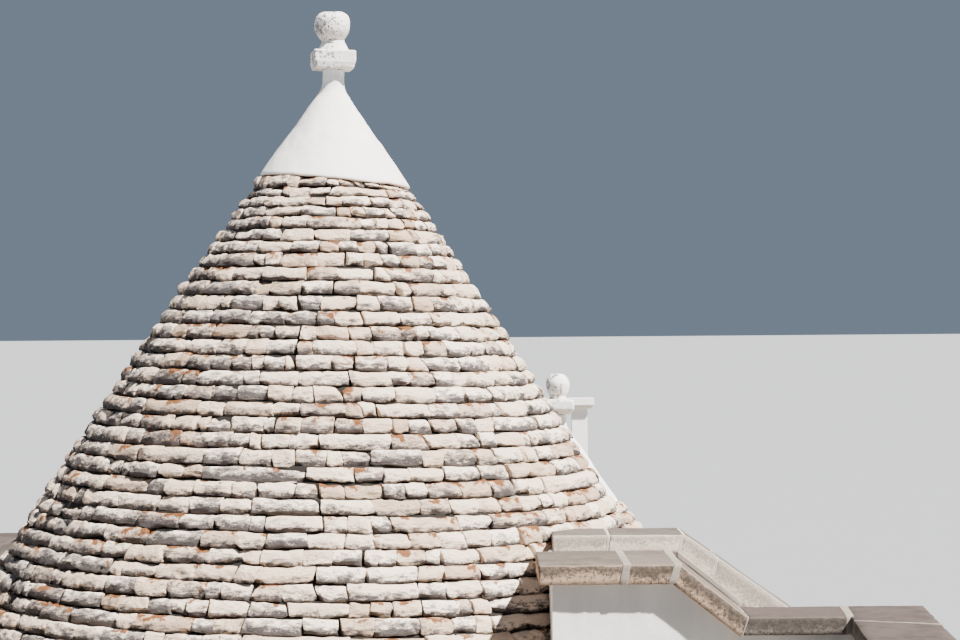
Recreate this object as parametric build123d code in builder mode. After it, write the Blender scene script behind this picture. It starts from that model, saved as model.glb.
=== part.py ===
# Trullo house of limestone: a white walled block with a terrace roof, a dry-stone
# cone over its room, and a small domed alcove behind it. Millimetres, +Z up.
# The origin is on the ground under the axis of the large cone. The entrance is
# on the -Y side, and the alcove on the +Y side.
from math import atan, cos, degrees, radians, sin, tan
import os

from build123d import *

# Walled block
room_half = 2000
block_left = 3450
block_right = 3500
block_front = 4210
block_back = 3660
wall_top = 2650
floor_thickness = 120
corner_slab_thickness = 300

# Entrance: an arched niche with a narrower doorway behind it
niche_width = 1500
niche_depth = 1100
niche_spring = 1450
door_width = 950
door_height = 2050
door_arch_rise = 140

# Large cone, ring courses laid dry. Radii are those at the middle of a flat. The
# cone has settled and leans a little towards +X.
cone_lean = 1.05
cone_height = 3457
cone_foot_radius = 2750
cone_top_radius = 505
cone_belly = 36
cone_sides = 32
cone_segments = 8
cone_rise_full = 107
cone_rise_top = 68
cone_rise_growth = 4.5
course_batter = 0.42
dome_foot_radius = 2000
dome_top_radius = 300
courses_per_corbel = 3
keystone_ledge = 90
keystone_courses = 2
stone_face_margin = 40

# Lime cap and pinnacle of the large cone
cap_edge_radius = 575
cap_neck_radius = 85
cap_slope_height = 700
cap_neck_height = 131
cap_sweep = 80
block_width = 306
block_depth = 285
block_height = 160
block_bevel = 34
block_turn = 14
stem_radius = 95
stem_height = 86
ball_width = 276
ball_height = 217
ball_sides = 20

# Parapets and their coping slabs
parapet_thickness = 320
return_thickness = 360
low_coping_top = 3092
coping_thickness = 120
coping_overhang = 90
coping_joint = 12
joint_cut_reach = 1500
coping_slab_length = 1200
back_parapet_end = 2960
edge_course_height = 60
edge_course_width = 400

# Stepped wall at the front right, in two leaves of different height
stepped_front_face = 2600
stepped_left = 1665
stepped_thickness = 1240
front_coping_top = 3448
front_slope_start = 2495
front_slope_angle = 37.5
front_coping_joint_at = 2155
rear_coping_depth = 500
rear_coping_top = 3558
rear_coping_left = 1675
rear_slope_start = 2610
rear_slope_angle = 35
return_inner = 3725
return_turn = 4.4

# Alcove behind the block, with its small cone and a chimney
alcove_x = 1972
alcove_y = 5100
alcove_half = 950
alcove_wall = 550
alcove_back_wall = 600
alcove_top = 2250
alcove_corner_thickness = 250
passage_left = 1050
passage_width = 900
passage_height = 2000
passage_arch_rise = 130
small_cone_height = 983
small_foot_radius = 1290
small_top_radius = 560
small_sides = 24
small_rise = 98
small_dome_top = 250
small_cap_edge = 592
small_cap_neck = 80
small_cap_height = 751
small_neck_height = 121
small_block_width = 320
small_block_height = 150
small_block_bevel = 40
small_stem_radius = 78
small_stem_height = 34
small_ball_width = 240
small_ball_height = 226
chimney_x = 2251
chimney_y = 6550
chimney_width = 164
chimney_base_width = 190
chimney_base_top = 3300
chimney_slab_width = 306
chimney_slab_thickness = 108
chimney_top = 4221
chimney_slab_bevel = 40

# Small gap between faces that are built against each other, and the overrun of cuts
seat = 0.3
overrun = 60

os.makedirs("parts", exist_ok=True)


def save(piece, name):
    """Label a finished solid and write it under its name."""
    piece.part.label = name
    export_step(piece.part, f"parts/{name}.step")


def outline(points):
    """Closed straight-sided face through the points, for the sketch that is open."""
    with BuildLine() as edge:
        Polyline(*points, close=True)
    make_face(edge.line.edges())


def course_rises(height, top_rise, growth, full_rise):
    """Rises of the ring courses from the foot up: they thin out towards the top."""
    rises = []
    while sum(rises) < height - full_rise / 2:
        rises.append(min(full_rise, top_rise + growth * len(rises)))
    fit = height / sum(rises)
    return [rise * fit for rise in reversed(rises)]


def cone_radius(share, foot, top, belly):
    """Radius at a share of the height: a straight slope with a slight belly."""
    return foot + (top - foot) * share + belly * 4 * share * (1 - share)


def course_profile(rises, foot, top, belly, inner_foot, inner_top):
    """Section of a ring wall as (radius, height) points, anticlockwise.

    Outside, every course leans back by its batter and steps in at its bed. Inside,
    the stones corbel inwards every few courses, and the last courses open out
    again into a ledge for the keystone.
    """
    height = sum(rises)
    corbels = (len(rises) - keystone_courses) / courses_per_corbel
    outside = [(foot, -overrun)]
    inside = [(inner_foot, -overrun)]
    level = 0
    for number, rise in enumerate(rises):
        lip = cone_radius(level / height, foot, top, belly)
        inner = inner_foot + (inner_top - inner_foot) * (number // courses_per_corbel) / corbels
        if number >= len(rises) - keystone_courses:
            inner = inner_top + keystone_ledge
        if inner != inside[-1][0]:
            inside.append((inside[-1][0], level))
            inside.append((inner, level))
        if number:
            outside.append((lip, level))
        outside.append((lip - course_batter * rise, level + rise))
        level += rise
    inside.append((inside[-1][0], level))
    return outside + inside[::-1]


def ring_flat(profile, sides):
    """One flat of a ring wall in the open part, mitred to its neighbours on both sides."""
    reach = max(radius for radius, level in profile)
    height = max(level for radius, level in profile)
    half_side = reach * tan(radians(180 / sides))
    with BuildSketch(Plane.XZ) as section:
        outline(profile)
    extrude(section.sketch, amount=half_side, both=True)
    with BuildSketch(Plane.XY.offset(-overrun)) as sector:
        outline([(0, 0), (reach, -half_side), (reach, half_side)])
    extrude(sector.sketch, amount=height + overrun, mode=Mode.INTERSECT)


def flat_sided(frame, levels, sides):
    """Round stone in the open part, cut in flats: tapered bands between (height, radius) levels.

    Each band narrows upwards from its wider end. One that is wider at its top is
    turned over.
    """
    apothem = cos(radians(180 / sides))
    bands = []
    for (low, foot), (high, top) in zip(levels, levels[1:]):
        wide_end = low if foot > top else high
        with BuildSketch(frame.offset(wide_end)) as section:
            RegularPolygon(radius=max(foot, top), side_count=sides)
        taper = degrees(atan(abs(foot - top) * apothem / (high - low)))
        band = extrude(section.sketch, amount=high - low, taper=taper, mode=Mode.PRIVATE)
        if wide_end == high:
            band = mirror(band, about=frame.offset(high), mode=Mode.PRIVATE)
        bands.append(band)
    add(bands)


def box_between(low, high):
    """Block between two corners, in the open part."""
    size = [b - a for a, b in zip(low, high)]
    with Locations(tuple(low)):
        Box(*size, align=(Align.MIN, Align.MIN, Align.MIN))


def arched_face(width, spring, rise, left=0.0):
    """Opening outline in the open sketch: straight jambs under a segmental arch."""
    with BuildLine() as edge:
        ThreePointArc((left, spring), (left + width / 2, spring + rise), (left + width, spring))
        Polyline((left + width, spring), (left + width, 0), (left, 0), (left, spring))
    make_face(edge.line.edges())


def ball_levels(foot, width, height):
    """Levels of a stone ball that is flattened at its foot and top."""
    bands = 7
    lowest = radians(-52)
    highest = radians(64)
    levels = []
    for band in range(bands + 1):
        angle = lowest + (highest - lowest) * band / bands
        rise = (sin(angle) - sin(lowest)) / (sin(highest) - sin(lowest))
        levels.append((foot + height * rise, width / 2 * cos(angle)))
    return levels


def cap_levels(foot, edge, neck, slope_height, neck_height):
    """Levels of a lime cap: a cone that sweeps up into a round neck."""
    bends = 3
    slope = (edge - neck) / slope_height
    sweep_foot = foot + slope_height - cap_sweep / 2
    levels = [(foot, edge)]
    for bend in range(bends + 1):
        share = bend / bends
        levels.append((sweep_foot + cap_sweep * share, neck + slope * cap_sweep / 2 * (1 - share) ** 2))
    levels.append((foot + slope_height + neck_height, neck))
    return levels


# Floor of the room, the entrance, the passage and the alcove, in one level
niche_back = -block_front + niche_depth
passage_right = passage_left + passage_width
alcove_front = alcove_y - alcove_half
alcove_left = alcove_x - alcove_half
alcove_right = alcove_x + alcove_half
alcove_end = alcove_y + alcove_half
with BuildPart() as floor_slab:
    with BuildSketch():
        outline([
            (-niche_width / 2 + seat, -block_front),
            (niche_width / 2 - seat, -block_front),
            (niche_width / 2 - seat, niche_back - seat),
            (door_width / 2 - seat, niche_back - seat),
            (door_width / 2 - seat, -room_half + seat),
            (room_half - seat, -room_half + seat),
            (room_half - seat, room_half - seat),
            (passage_right - seat, room_half - seat),
            (passage_right - seat, alcove_front + seat),
            (alcove_right - seat, alcove_front + seat),
            (alcove_right - seat, alcove_end - seat),
            (alcove_left + seat, alcove_end - seat),
            (alcove_left + seat, alcove_front + seat),
            (passage_left + seat, alcove_front + seat),
            (passage_left + seat, room_half - seat),
            (-room_half + seat, room_half - seat),
            (-room_half + seat, -room_half + seat),
            (-door_width / 2 + seat, -room_half + seat),
            (-door_width / 2 + seat, niche_back - seat),
            (-niche_width / 2 + seat, niche_back - seat),
        ])
    extrude(amount=floor_thickness)
save(floor_slab, "floor_slab")

# Front wall left and right of the entrance: wider behind the niche, as jambs
with BuildPart() as front_wall_left:
    with BuildSketch():
        outline([
            (-block_left, -block_front),
            (-niche_width / 2, -block_front),
            (-niche_width / 2, niche_back),
            (-door_width / 2, niche_back),
            (-door_width / 2, -room_half),
            (-block_left, -room_half),
        ])
    extrude(amount=wall_top)
save(front_wall_left, "front_wall_left")

with BuildPart() as front_wall_right:
    with BuildSketch():
        outline([
            (niche_width / 2, -block_front),
            (block_right, -block_front),
            (block_right, -room_half),
            (door_width / 2, -room_half),
            (door_width / 2, niche_back),
            (niche_width / 2, niche_back),
        ])
    extrude(amount=wall_top)
save(front_wall_right, "front_wall_right")

# Wall over the entrance: a round arch over the niche, a flatter one over the door
door_spring = door_height - door_arch_rise
with BuildPart() as front_wall_over_door:
    box_between((-niche_width / 2, -block_front, niche_spring), (niche_width / 2, niche_back, wall_top))
    with BuildSketch(Plane.XZ.offset(block_front)):
        with Locations((0, niche_spring)):
            Circle(niche_width / 2)
    extrude(amount=-niche_depth, mode=Mode.SUBTRACT)
    box_between((-door_width / 2, niche_back, door_spring), (door_width / 2, -room_half, wall_top))
    with BuildSketch(Plane.XZ.offset(-niche_back)):
        arched_face(door_width, door_spring, door_arch_rise, -door_width / 2)
    extrude(amount=-(block_front - niche_depth - room_half), mode=Mode.SUBTRACT)
save(front_wall_over_door, "front_wall_over_door")

# Side walls of the room
with BuildPart() as left_wall:
    box_between((-block_left, -room_half, 0), (-room_half, room_half, wall_top))
save(left_wall, "left_wall")

with BuildPart() as right_wall:
    box_between((room_half, -room_half, 0), (block_right, room_half, wall_top))
save(right_wall, "right_wall")

# Back wall beside and over the passage to the alcove
with BuildPart() as back_wall_left:
    box_between((-block_left, room_half, 0), (passage_left, block_back, wall_top))
save(back_wall_left, "back_wall_left")

with BuildPart() as back_wall_right:
    box_between((passage_right, room_half, 0), (block_right, block_back, wall_top))
save(back_wall_right, "back_wall_right")

passage_spring = passage_height - passage_arch_rise
with BuildPart() as back_wall_over_passage:
    box_between((passage_left, room_half, passage_spring), (passage_right, block_back, wall_top))
    with BuildSketch(Plane.XZ.offset(-room_half)):
        arched_face(passage_width, passage_spring, passage_arch_rise, passage_left)
    extrude(amount=-(block_back - room_half), mode=Mode.SUBTRACT)
save(back_wall_over_passage, "back_wall_over_passage")

# Corner slabs that carry the domes across the corners of the room and alcove
with BuildPart() as corner_slabs:
    for centre_x, centre_y, half, top, thickness in (
        (0, 0, room_half, wall_top, corner_slab_thickness),
        (alcove_x, alcove_y, alcove_half, alcove_top, alcove_corner_thickness),
    ):
        flat = half * (2 * cos(radians(45)) - 1)
        for side_x in (-1, 1):
            for side_y in (-1, 1):
                with BuildSketch(Plane.XY.offset(top - thickness)):
                    outline([
                        (centre_x + side_x * half, centre_y + side_y * half),
                        (centre_x + side_x * half, centre_y + side_y * flat),
                        (centre_x + side_x * flat, centre_y + side_y * half),
                    ])
                extrude(amount=thickness)
save(corner_slabs, "corner_slabs")

# Large cone: ring courses of flat stones, battered outside and corbelled inside
lean_x = sin(radians(cone_lean))
lean_z = cos(radians(cone_lean))
cone_frame = Plane(origin=(0, 0, wall_top), x_dir=(lean_z, 0, -lean_x), z_dir=(lean_x, 0, lean_z))
rises = course_rises(cone_height, cone_rise_top, cone_rise_growth, cone_rise_full)
cone_profile = course_profile(
    rises,
    cone_foot_radius,
    cone_top_radius,
    cone_belly,
    dome_foot_radius,
    dome_top_radius,
)
with BuildPart() as cone_flat:
    ring_flat(cone_profile, cone_sides)
flats = cone_sides // cone_segments
segment_angle = 360 / cone_segments
for segment in range(cone_segments):
    first_flat = segment * segment_angle + 180 / cone_sides
    with BuildPart(cone_frame) as cone_segment:
        with PolarLocations(0, flats, first_flat, segment_angle, endpoint=False):
            add(cone_flat.part)
        split(bisect_by=Plane.XY.offset(wall_top), keep=Keep.TOP)
    save(cone_segment, f"cone_segment_{segment + 1}")

# Small cone over the alcove
alcove_frame = Plane(origin=(alcove_x, alcove_y, alcove_top))
small_rises = course_rises(small_cone_height, small_rise, 0, small_rise)
small_profile = course_profile(
    small_rises,
    small_foot_radius,
    small_top_radius,
    0,
    alcove_half,
    small_dome_top,
)
with BuildPart() as small_flat:
    ring_flat(small_profile, small_sides)
with BuildPart(alcove_frame) as rear_cone:
    with PolarLocations(0, small_sides):
        add(small_flat.part)
    split(bisect_by=Plane.XY.offset(alcove_top), keep=Keep.TOP)
save(rear_cone, "rear_cone")

# Keystones that close the two domes, seated on the ledge under the last courses
with BuildPart() as keystones:
    for frame, height, last_rises, inner_top, sides in (
        (cone_frame, cone_height, rises[-keystone_courses:], dome_top_radius, cone_sides),
        (alcove_frame, small_cone_height, small_rises[-keystone_courses:], small_dome_top, small_sides),
    ):
        with BuildSketch(frame.offset(height - sum(last_rises))) as keystone:
            RegularPolygon(radius=inner_top + keystone_ledge - seat, side_count=sides)
        extrude(keystone.sketch, amount=sum(last_rises))
save(keystones, "keystones")

# Lime caps: a cone that sweeps up into a round neck
with BuildPart() as cap:
    levels = cap_levels(cone_height, cap_edge_radius, cap_neck_radius, cap_slope_height, cap_neck_height)
    flat_sided(cone_frame, levels, cone_sides)
save(cap, "cap")

with BuildPart() as rear_cap:
    levels = cap_levels(
        small_cone_height,
        small_cap_edge,
        small_cap_neck,
        small_cap_height,
        small_neck_height,
    )
    flat_sided(alcove_frame, levels, small_sides)
save(rear_cap, "rear_cap")

# Pinnacle of the large cone: a bevelled square block, a short stem and a ball
block_foot = cone_height + cap_slope_height + cap_neck_height
stem_foot = block_foot + block_height
with BuildPart() as pinnacle_block:
    with BuildSketch(cone_frame.offset(block_foot)) as block:
        Rectangle(block_width, block_depth, rotation=block_turn)
    extrude(block.sketch, amount=block_height)
    chamfer(pinnacle_block.faces().sort_by(Axis.Z)[0].edges(), length=block_bevel)
    chamfer(pinnacle_block.faces().sort_by(Axis.Z)[-1].edges(), length=block_bevel / 2)
    flat_sided(cone_frame, [(stem_foot, stem_radius), (stem_foot + stem_height, stem_radius)], ball_sides)
save(pinnacle_block, "pinnacle_block")

with BuildPart() as pinnacle_ball:
    flat_sided(cone_frame, ball_levels(stem_foot + stem_height, ball_width, ball_height), ball_sides)
save(pinnacle_ball, "pinnacle_ball")

# Pinnacle of the small cone
small_block_foot = small_cone_height + small_cap_height + small_neck_height
small_stem_foot = small_block_foot + small_block_height
small_stem_top = small_stem_foot + small_stem_height
with BuildPart() as rear_pinnacle_block:
    with BuildSketch(alcove_frame.offset(small_block_foot)) as block:
        Rectangle(small_block_width, small_block_width)
    extrude(block.sketch, amount=small_block_height)
    chamfer(rear_pinnacle_block.faces().sort_by(Axis.Z)[0].edges(), length=small_block_bevel)
    flat_sided(
        alcove_frame,
        [(small_stem_foot, small_stem_radius), (small_stem_top, small_stem_radius)],
        ball_sides,
    )
save(rear_pinnacle_block, "rear_pinnacle_block")

with BuildPart() as rear_pinnacle_ball:
    flat_sided(alcove_frame, ball_levels(small_stem_top, small_ball_width, small_ball_height), ball_sides)
save(rear_pinnacle_ball, "rear_pinnacle_ball")

# Wing beside the block, which carries the parapet that comes forward on the right
return_outer = return_inner + return_thickness
turn = tan(radians(return_turn))
stepped_back_face = stepped_front_face - stepped_thickness
corner_depth = stepped_front_face - return_thickness
front_shift = (block_front - corner_depth) * turn
with BuildPart() as wing_wall:
    with BuildSketch():
        outline([
            (block_right, -block_front),
            (return_outer - front_shift, -block_front),
            (return_outer, -corner_depth),
            (return_outer, -stepped_back_face),
            (block_right, -stepped_back_face),
        ])
    extrude(amount=wall_top)
save(wing_wall, "wing_wall")

# Parapets on the terrace roof
low_parapet_top = low_coping_top - coping_thickness
front_inner = -block_front + parapet_thickness
left_inner = -block_left + parapet_thickness
back_inner = block_back - parapet_thickness
with BuildPart() as left_parapet:
    box_between((-block_left, front_inner, wall_top), (left_inner, back_inner, low_parapet_top))
save(left_parapet, "left_parapet")

with BuildPart() as back_parapet:
    box_between((-block_left, back_inner, wall_top), (back_parapet_end, block_back, low_parapet_top))
save(back_parapet, "back_parapet")

with BuildPart() as front_parapet:
    with BuildSketch(Plane.XY.offset(wall_top)):
        outline([
            (-block_left, -block_front),
            (return_outer - front_shift, -block_front),
            (return_outer - front_shift + parapet_thickness * turn, front_inner),
            (-block_left, front_inner),
        ])
    extrude(amount=low_parapet_top - wall_top)
save(front_parapet, "front_parapet")


def turned_x(x, depth):
    """x of a line that starts at the corner of the return and turns inwards."""
    return x - (depth - corner_depth) * turn


with BuildPart() as return_parapet:
    with BuildSketch(Plane.XY.offset(wall_top)):
        outline([
            (turned_x(return_inner, stepped_front_face), -stepped_front_face),
            (turned_x(return_outer, stepped_front_face), -stepped_front_face),
            (turned_x(return_outer, -front_inner), front_inner),
            (turned_x(return_inner, -front_inner), front_inner),
        ])
    extrude(amount=low_parapet_top - wall_top)
save(return_parapet, "return_parapet")

# Stepped wall: its left end is built up to the face of the cone's stones. The rear
# leaf stands flush with the face of its coping, and the front one carries the rest.
rear_coping_face = stepped_back_face - coping_overhang + rear_coping_depth
front_slope = tan(radians(front_slope_angle))
front_mitre = coping_thickness * tan(radians(front_slope_angle / 2))
front_wall_crest = front_coping_top - coping_thickness
front_crest_end = front_slope_start - front_mitre
low_bottom_start = front_crest_end + (front_wall_crest - low_parapet_top) / front_slope
rear_slope = tan(radians(rear_slope_angle))
rear_mitre = coping_thickness * tan(radians(rear_slope_angle / 2))
rear_wall_crest = rear_coping_top - coping_thickness
rear_crest_end = rear_slope_start - rear_mitre
rear_slope_end = rear_crest_end + (rear_wall_crest - wall_top) / rear_slope
face_foot = cone_foot_radius + stone_face_margin
face_middle = cone_radius(0.5, cone_foot_radius, cone_top_radius, cone_belly) + stone_face_margin
face_top = cone_top_radius + stone_face_margin
section_plane = Plane(origin=cone_frame.origin, x_dir=cone_frame.x_dir, z_dir=(0, -1, 0))
with BuildPart() as cone_face:
    with BuildSketch(section_plane) as face_section:
        with BuildLine() as face_line:
            Polyline(
                (face_foot, rises[0]),
                (face_foot, -overrun),
                (0, -overrun),
                (0, cone_height + rises[0]),
                (face_top, cone_height + rises[0]),
            )
            ThreePointArc(
                (face_top, cone_height + rises[0]),
                (face_middle, cone_height / 2 + rises[0]),
                (face_foot, rises[0]),
            )
        make_face()
    revolve(axis=Axis(cone_frame.origin, cone_frame.z_dir))
with BuildPart() as stepped_wall_front:
    with BuildSketch(Plane.XZ.offset(stepped_front_face)):
        outline([
            (stepped_left, wall_top),
            (stepped_left, front_wall_crest),
            (front_crest_end, front_wall_crest),
            (low_bottom_start, low_parapet_top),
            (low_bottom_start, wall_top),
        ])
    extrude(amount=-(stepped_front_face - rear_coping_face))
    add(cone_face.part, mode=Mode.SUBTRACT)
    box_between(
        (low_bottom_start, -stepped_front_face, wall_top),
        (return_outer, -corner_depth, low_parapet_top),
    )
save(stepped_wall_front, "stepped_wall_front")

with BuildPart() as stepped_wall_rear:
    with BuildSketch(Plane.XZ.offset(rear_coping_face)):
        outline([
            (stepped_left, wall_top),
            (stepped_left, rear_wall_crest),
            (rear_crest_end, rear_wall_crest),
            (rear_slope_end, wall_top),
        ])
    extrude(amount=-(rear_coping_face - stepped_back_face))
    add(cone_face.part, mode=Mode.SUBTRACT)
save(stepped_wall_rear, "stepped_wall_rear")

# Coping slabs of the stepped wall, with open joints for the mortar. The high and the
# sloping slabs reach back to the rear coping, and the low one is as wide as the return's.
front_coping_face = stepped_front_face + coping_overhang
front_coping_left = stepped_left - coping_overhang
corner_x = return_inner - coping_overhang
outer_corner_x = return_outer + coping_overhang
high_coping_depth = front_coping_face - rear_coping_face - seat
low_coping_depth = return_thickness + 2 * coping_overhang
front_coping_back = front_coping_face - low_coping_depth
front_slope_foot = front_slope_start + (front_coping_top - low_coping_top) / front_slope
with BuildPart() as stepped_coping_front:
    with BuildSketch(Plane.XZ.offset(front_coping_face)):
        outline([
            (front_coping_left, front_wall_crest),
            (front_coping_left, front_coping_top),
            (front_slope_start, front_coping_top),
            (front_slope_foot, low_coping_top),
            (low_bottom_start, low_parapet_top),
            (front_crest_end, front_wall_crest),
        ])
    extrude(amount=-high_coping_depth)
    add(cone_face.part, mode=Mode.SUBTRACT)
    with BuildSketch(Plane.XZ.offset(front_coping_face)):
        outline([
            (front_slope_foot, low_coping_top),
            (outer_corner_x, low_coping_top),
            (outer_corner_x, low_parapet_top),
            (low_bottom_start, low_parapet_top),
        ])
    extrude(amount=-low_coping_depth)
    with BuildSketch(Plane.XY.offset(low_parapet_top)):
        outline([
            (corner_x, -front_coping_face),
            (outer_corner_x + coping_joint, -front_coping_face),
            (outer_corner_x + coping_joint, -front_coping_back),
            (outer_corner_x - coping_joint, -front_coping_back),
            (corner_x - coping_joint, -front_coping_face),
        ])
    extrude(amount=coping_thickness, mode=Mode.SUBTRACT)
    for joint_x, joint_z, joint_turn in (
        (front_coping_joint_at, front_wall_crest, 0),
        (front_slope_start - front_mitre / 2, front_wall_crest, front_slope_angle / 2),
        (front_slope_foot - front_mitre / 2, low_parapet_top, front_slope_angle / 2),
    ):
        joint_centre = (joint_x, -front_coping_face + high_coping_depth / 2, joint_z + coping_thickness / 2)
        with Locations(Location(joint_centre, (0, joint_turn, 0))):
            Box(coping_joint, joint_cut_reach, coping_thickness * 2, mode=Mode.SUBTRACT)
save(stepped_coping_front, "stepped_coping_front")

with BuildPart() as stepped_coping_rear:
    with BuildSketch(Plane.XZ.offset(rear_coping_face)):
        outline([
            (rear_coping_left, rear_wall_crest),
            (rear_coping_left, rear_coping_top),
            (rear_slope_start, rear_coping_top),
            (rear_slope_end, rear_coping_top - (rear_slope_end - rear_slope_start) * rear_slope),
            (rear_slope_end, wall_top),
            (rear_crest_end, rear_wall_crest),
        ])
    extrude(amount=-rear_coping_depth)
    add(cone_face.part, mode=Mode.SUBTRACT)
    joint_centre = (
        rear_slope_start - rear_mitre / 2,
        -rear_coping_face + rear_coping_depth / 2,
        rear_wall_crest + coping_thickness / 2,
    )
    with Locations(Location(joint_centre, (0, rear_slope_angle / 2, 0))):
        Box(coping_joint, joint_cut_reach, coping_thickness * 2, mode=Mode.SUBTRACT)
save(stepped_coping_rear, "stepped_coping_rear")


def joint_places(first, last):
    """Places of the joints that cut a coping run into slabs of about one length."""
    slabs = max(1, round((last - first) / coping_slab_length))
    return [first + (last - first) * k / slabs for k in range(1, slabs)]


# Coping of the parapet on the right, mitred to its neighbours at both ends
front_outer = -block_front - coping_overhang
front_coping_inner = front_inner + coping_overhang
left_outer = -block_left - coping_overhang
left_coping_inner = left_inner + coping_overhang
back_outer = block_back + coping_overhang
back_coping_inner = back_inner - coping_overhang
coping_middle = low_parapet_top + coping_thickness / 2
with BuildPart() as return_coping:
    with BuildSketch(Plane.XY.offset(low_parapet_top)):
        outline([
            (corner_x, -front_coping_face),
            (outer_corner_x, -front_coping_back),
            (turned_x(outer_corner_x, -front_outer - coping_joint), front_outer + coping_joint),
            (turned_x(corner_x, -front_coping_inner - coping_joint), front_coping_inner + coping_joint),
        ])
    extrude(amount=coping_thickness)
save(return_coping, "return_coping")

# Coping of the front parapet
front_right_outer = turned_x(outer_corner_x, -front_outer)
front_right_inner = turned_x(corner_x, -front_coping_inner)
with BuildPart() as front_coping:
    with BuildSketch(Plane.XY.offset(low_parapet_top)):
        outline([
            (left_outer, front_outer),
            (front_right_outer, front_outer),
            (front_right_inner, front_coping_inner),
            (left_coping_inner, front_coping_inner),
        ])
    extrude(amount=coping_thickness)
    for joint_x in joint_places(left_outer, front_right_outer):
        with Locations((joint_x, (front_outer + front_coping_inner) / 2, coping_middle)):
            Box(coping_joint, joint_cut_reach, coping_thickness * 2, mode=Mode.SUBTRACT)
save(front_coping, "front_coping")

# Coping of the left parapet
with BuildPart() as left_coping:
    with BuildSketch(Plane.XY.offset(low_parapet_top)):
        outline([
            (left_outer, front_outer + coping_joint),
            (left_coping_inner, front_coping_inner + coping_joint),
            (left_coping_inner, back_coping_inner - coping_joint),
            (left_outer, back_outer - coping_joint),
        ])
    extrude(amount=coping_thickness)
    for joint_y in joint_places(front_outer, back_outer):
        with Locations(((left_outer + left_coping_inner) / 2, joint_y, coping_middle)):
            Box(joint_cut_reach, coping_joint, coping_thickness * 2, mode=Mode.SUBTRACT)
save(left_coping, "left_coping")

# Coping of the back parapet, with a free right end
back_coping_end = back_parapet_end + coping_overhang
with BuildPart() as back_coping:
    with BuildSketch(Plane.XY.offset(low_parapet_top)):
        outline([
            (left_outer, back_outer),
            (left_coping_inner, back_coping_inner),
            (back_coping_end, back_coping_inner),
            (back_coping_end, back_outer),
        ])
    extrude(amount=coping_thickness)
    for joint_x in joint_places(left_outer, back_coping_end):
        with Locations((joint_x, (back_outer + back_coping_inner) / 2, coping_middle)):
            Box(coping_joint, joint_cut_reach, coping_thickness * 2, mode=Mode.SUBTRACT)
save(back_coping, "back_coping")

# Low edge course on the right side of the terrace, which has no parapet
with BuildPart() as right_edge_course:
    box_between(
        (block_right - edge_course_width, -stepped_back_face, wall_top),
        (block_right, block_back, wall_top + edge_course_height),
    )
    box_between(
        (back_parapet_end, back_inner, wall_top),
        (block_right, block_back, wall_top + edge_course_height),
    )
save(right_edge_course, "right_edge_course")

# Walls of the alcove
with BuildPart() as annex_front_wall:
    box_between((alcove_left, block_back, 0), (alcove_right, alcove_front, alcove_top))
    with BuildSketch(Plane.XZ.offset(-block_back)):
        arched_face(passage_width, passage_spring, passage_arch_rise, passage_left)
    extrude(amount=-(alcove_front - block_back), mode=Mode.SUBTRACT)
save(annex_front_wall, "annex_front_wall")

with BuildPart() as annex_side_walls:
    box_between((alcove_left - alcove_wall, block_back, 0), (alcove_left, alcove_end, alcove_top))
    box_between((alcove_right, block_back, 0), (alcove_right + alcove_wall, alcove_end, alcove_top))
save(annex_side_walls, "annex_side_walls")

with BuildPart() as annex_back_wall:
    box_between(
        (alcove_left - alcove_wall, alcove_end, 0),
        (alcove_right + alcove_wall, alcove_end + alcove_back_wall, alcove_top),
    )
save(annex_back_wall, "annex_back_wall")

# Chimney on the back wall of the alcove: a stepped shaft under a flat slab
shaft_top = chimney_top - chimney_slab_thickness
with BuildPart() as chimney_shaft:
    with BuildSketch(Plane.XY.offset(alcove_top)):
        with Locations((chimney_x, chimney_y)):
            Rectangle(chimney_base_width, chimney_base_width)
    extrude(amount=chimney_base_top - alcove_top)
    with BuildSketch(Plane.XY.offset(chimney_base_top)):
        with Locations((chimney_x, chimney_y)):
            Rectangle(chimney_width, chimney_width)
    extrude(amount=shaft_top - chimney_base_top)
save(chimney_shaft, "chimney_shaft")

with BuildPart() as chimney_slab:
    with BuildSketch(Plane.XY.offset(shaft_top)):
        with Locations((chimney_x, chimney_y)):
            Rectangle(chimney_slab_width, chimney_slab_width)
    extrude(amount=chimney_slab_thickness)
    chamfer(chimney_slab.faces().sort_by(Axis.Z)[0].edges(), length=chimney_slab_bevel)
save(chimney_slab, "chimney_slab")
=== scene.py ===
"""Dressing of a trullo house: dry-laid roof stones, limewash, coping and paving round the fixed frame."""
import logging
import math
from dataclasses import dataclass
from enum import Enum

import bpy
import numpy as np
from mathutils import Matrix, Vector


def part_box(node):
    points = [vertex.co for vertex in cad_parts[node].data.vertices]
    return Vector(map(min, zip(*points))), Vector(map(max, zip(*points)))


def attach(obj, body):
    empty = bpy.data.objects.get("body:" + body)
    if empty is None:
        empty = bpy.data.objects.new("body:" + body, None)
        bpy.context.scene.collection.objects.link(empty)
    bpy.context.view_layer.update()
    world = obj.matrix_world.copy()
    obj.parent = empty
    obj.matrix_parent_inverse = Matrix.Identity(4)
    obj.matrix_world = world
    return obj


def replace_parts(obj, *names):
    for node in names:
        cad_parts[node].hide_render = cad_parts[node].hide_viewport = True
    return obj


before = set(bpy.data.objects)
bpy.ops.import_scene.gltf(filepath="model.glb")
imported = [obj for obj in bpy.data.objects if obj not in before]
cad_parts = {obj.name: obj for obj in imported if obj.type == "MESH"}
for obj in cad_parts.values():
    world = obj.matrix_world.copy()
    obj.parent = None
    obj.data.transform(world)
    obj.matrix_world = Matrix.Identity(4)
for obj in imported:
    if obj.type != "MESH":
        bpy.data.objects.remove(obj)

Array = np.ndarray
Material = bpy.types.Material
Colour = tuple[float, float, float]
Place = tuple[float, float, float]
Knot = tuple[float, float, float]
NoiseSize = tuple[float, float, float]
Span = tuple[float, float]
LOG = logging.getLogger("trullo")

# Factors of the integer hash under the noise

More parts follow.
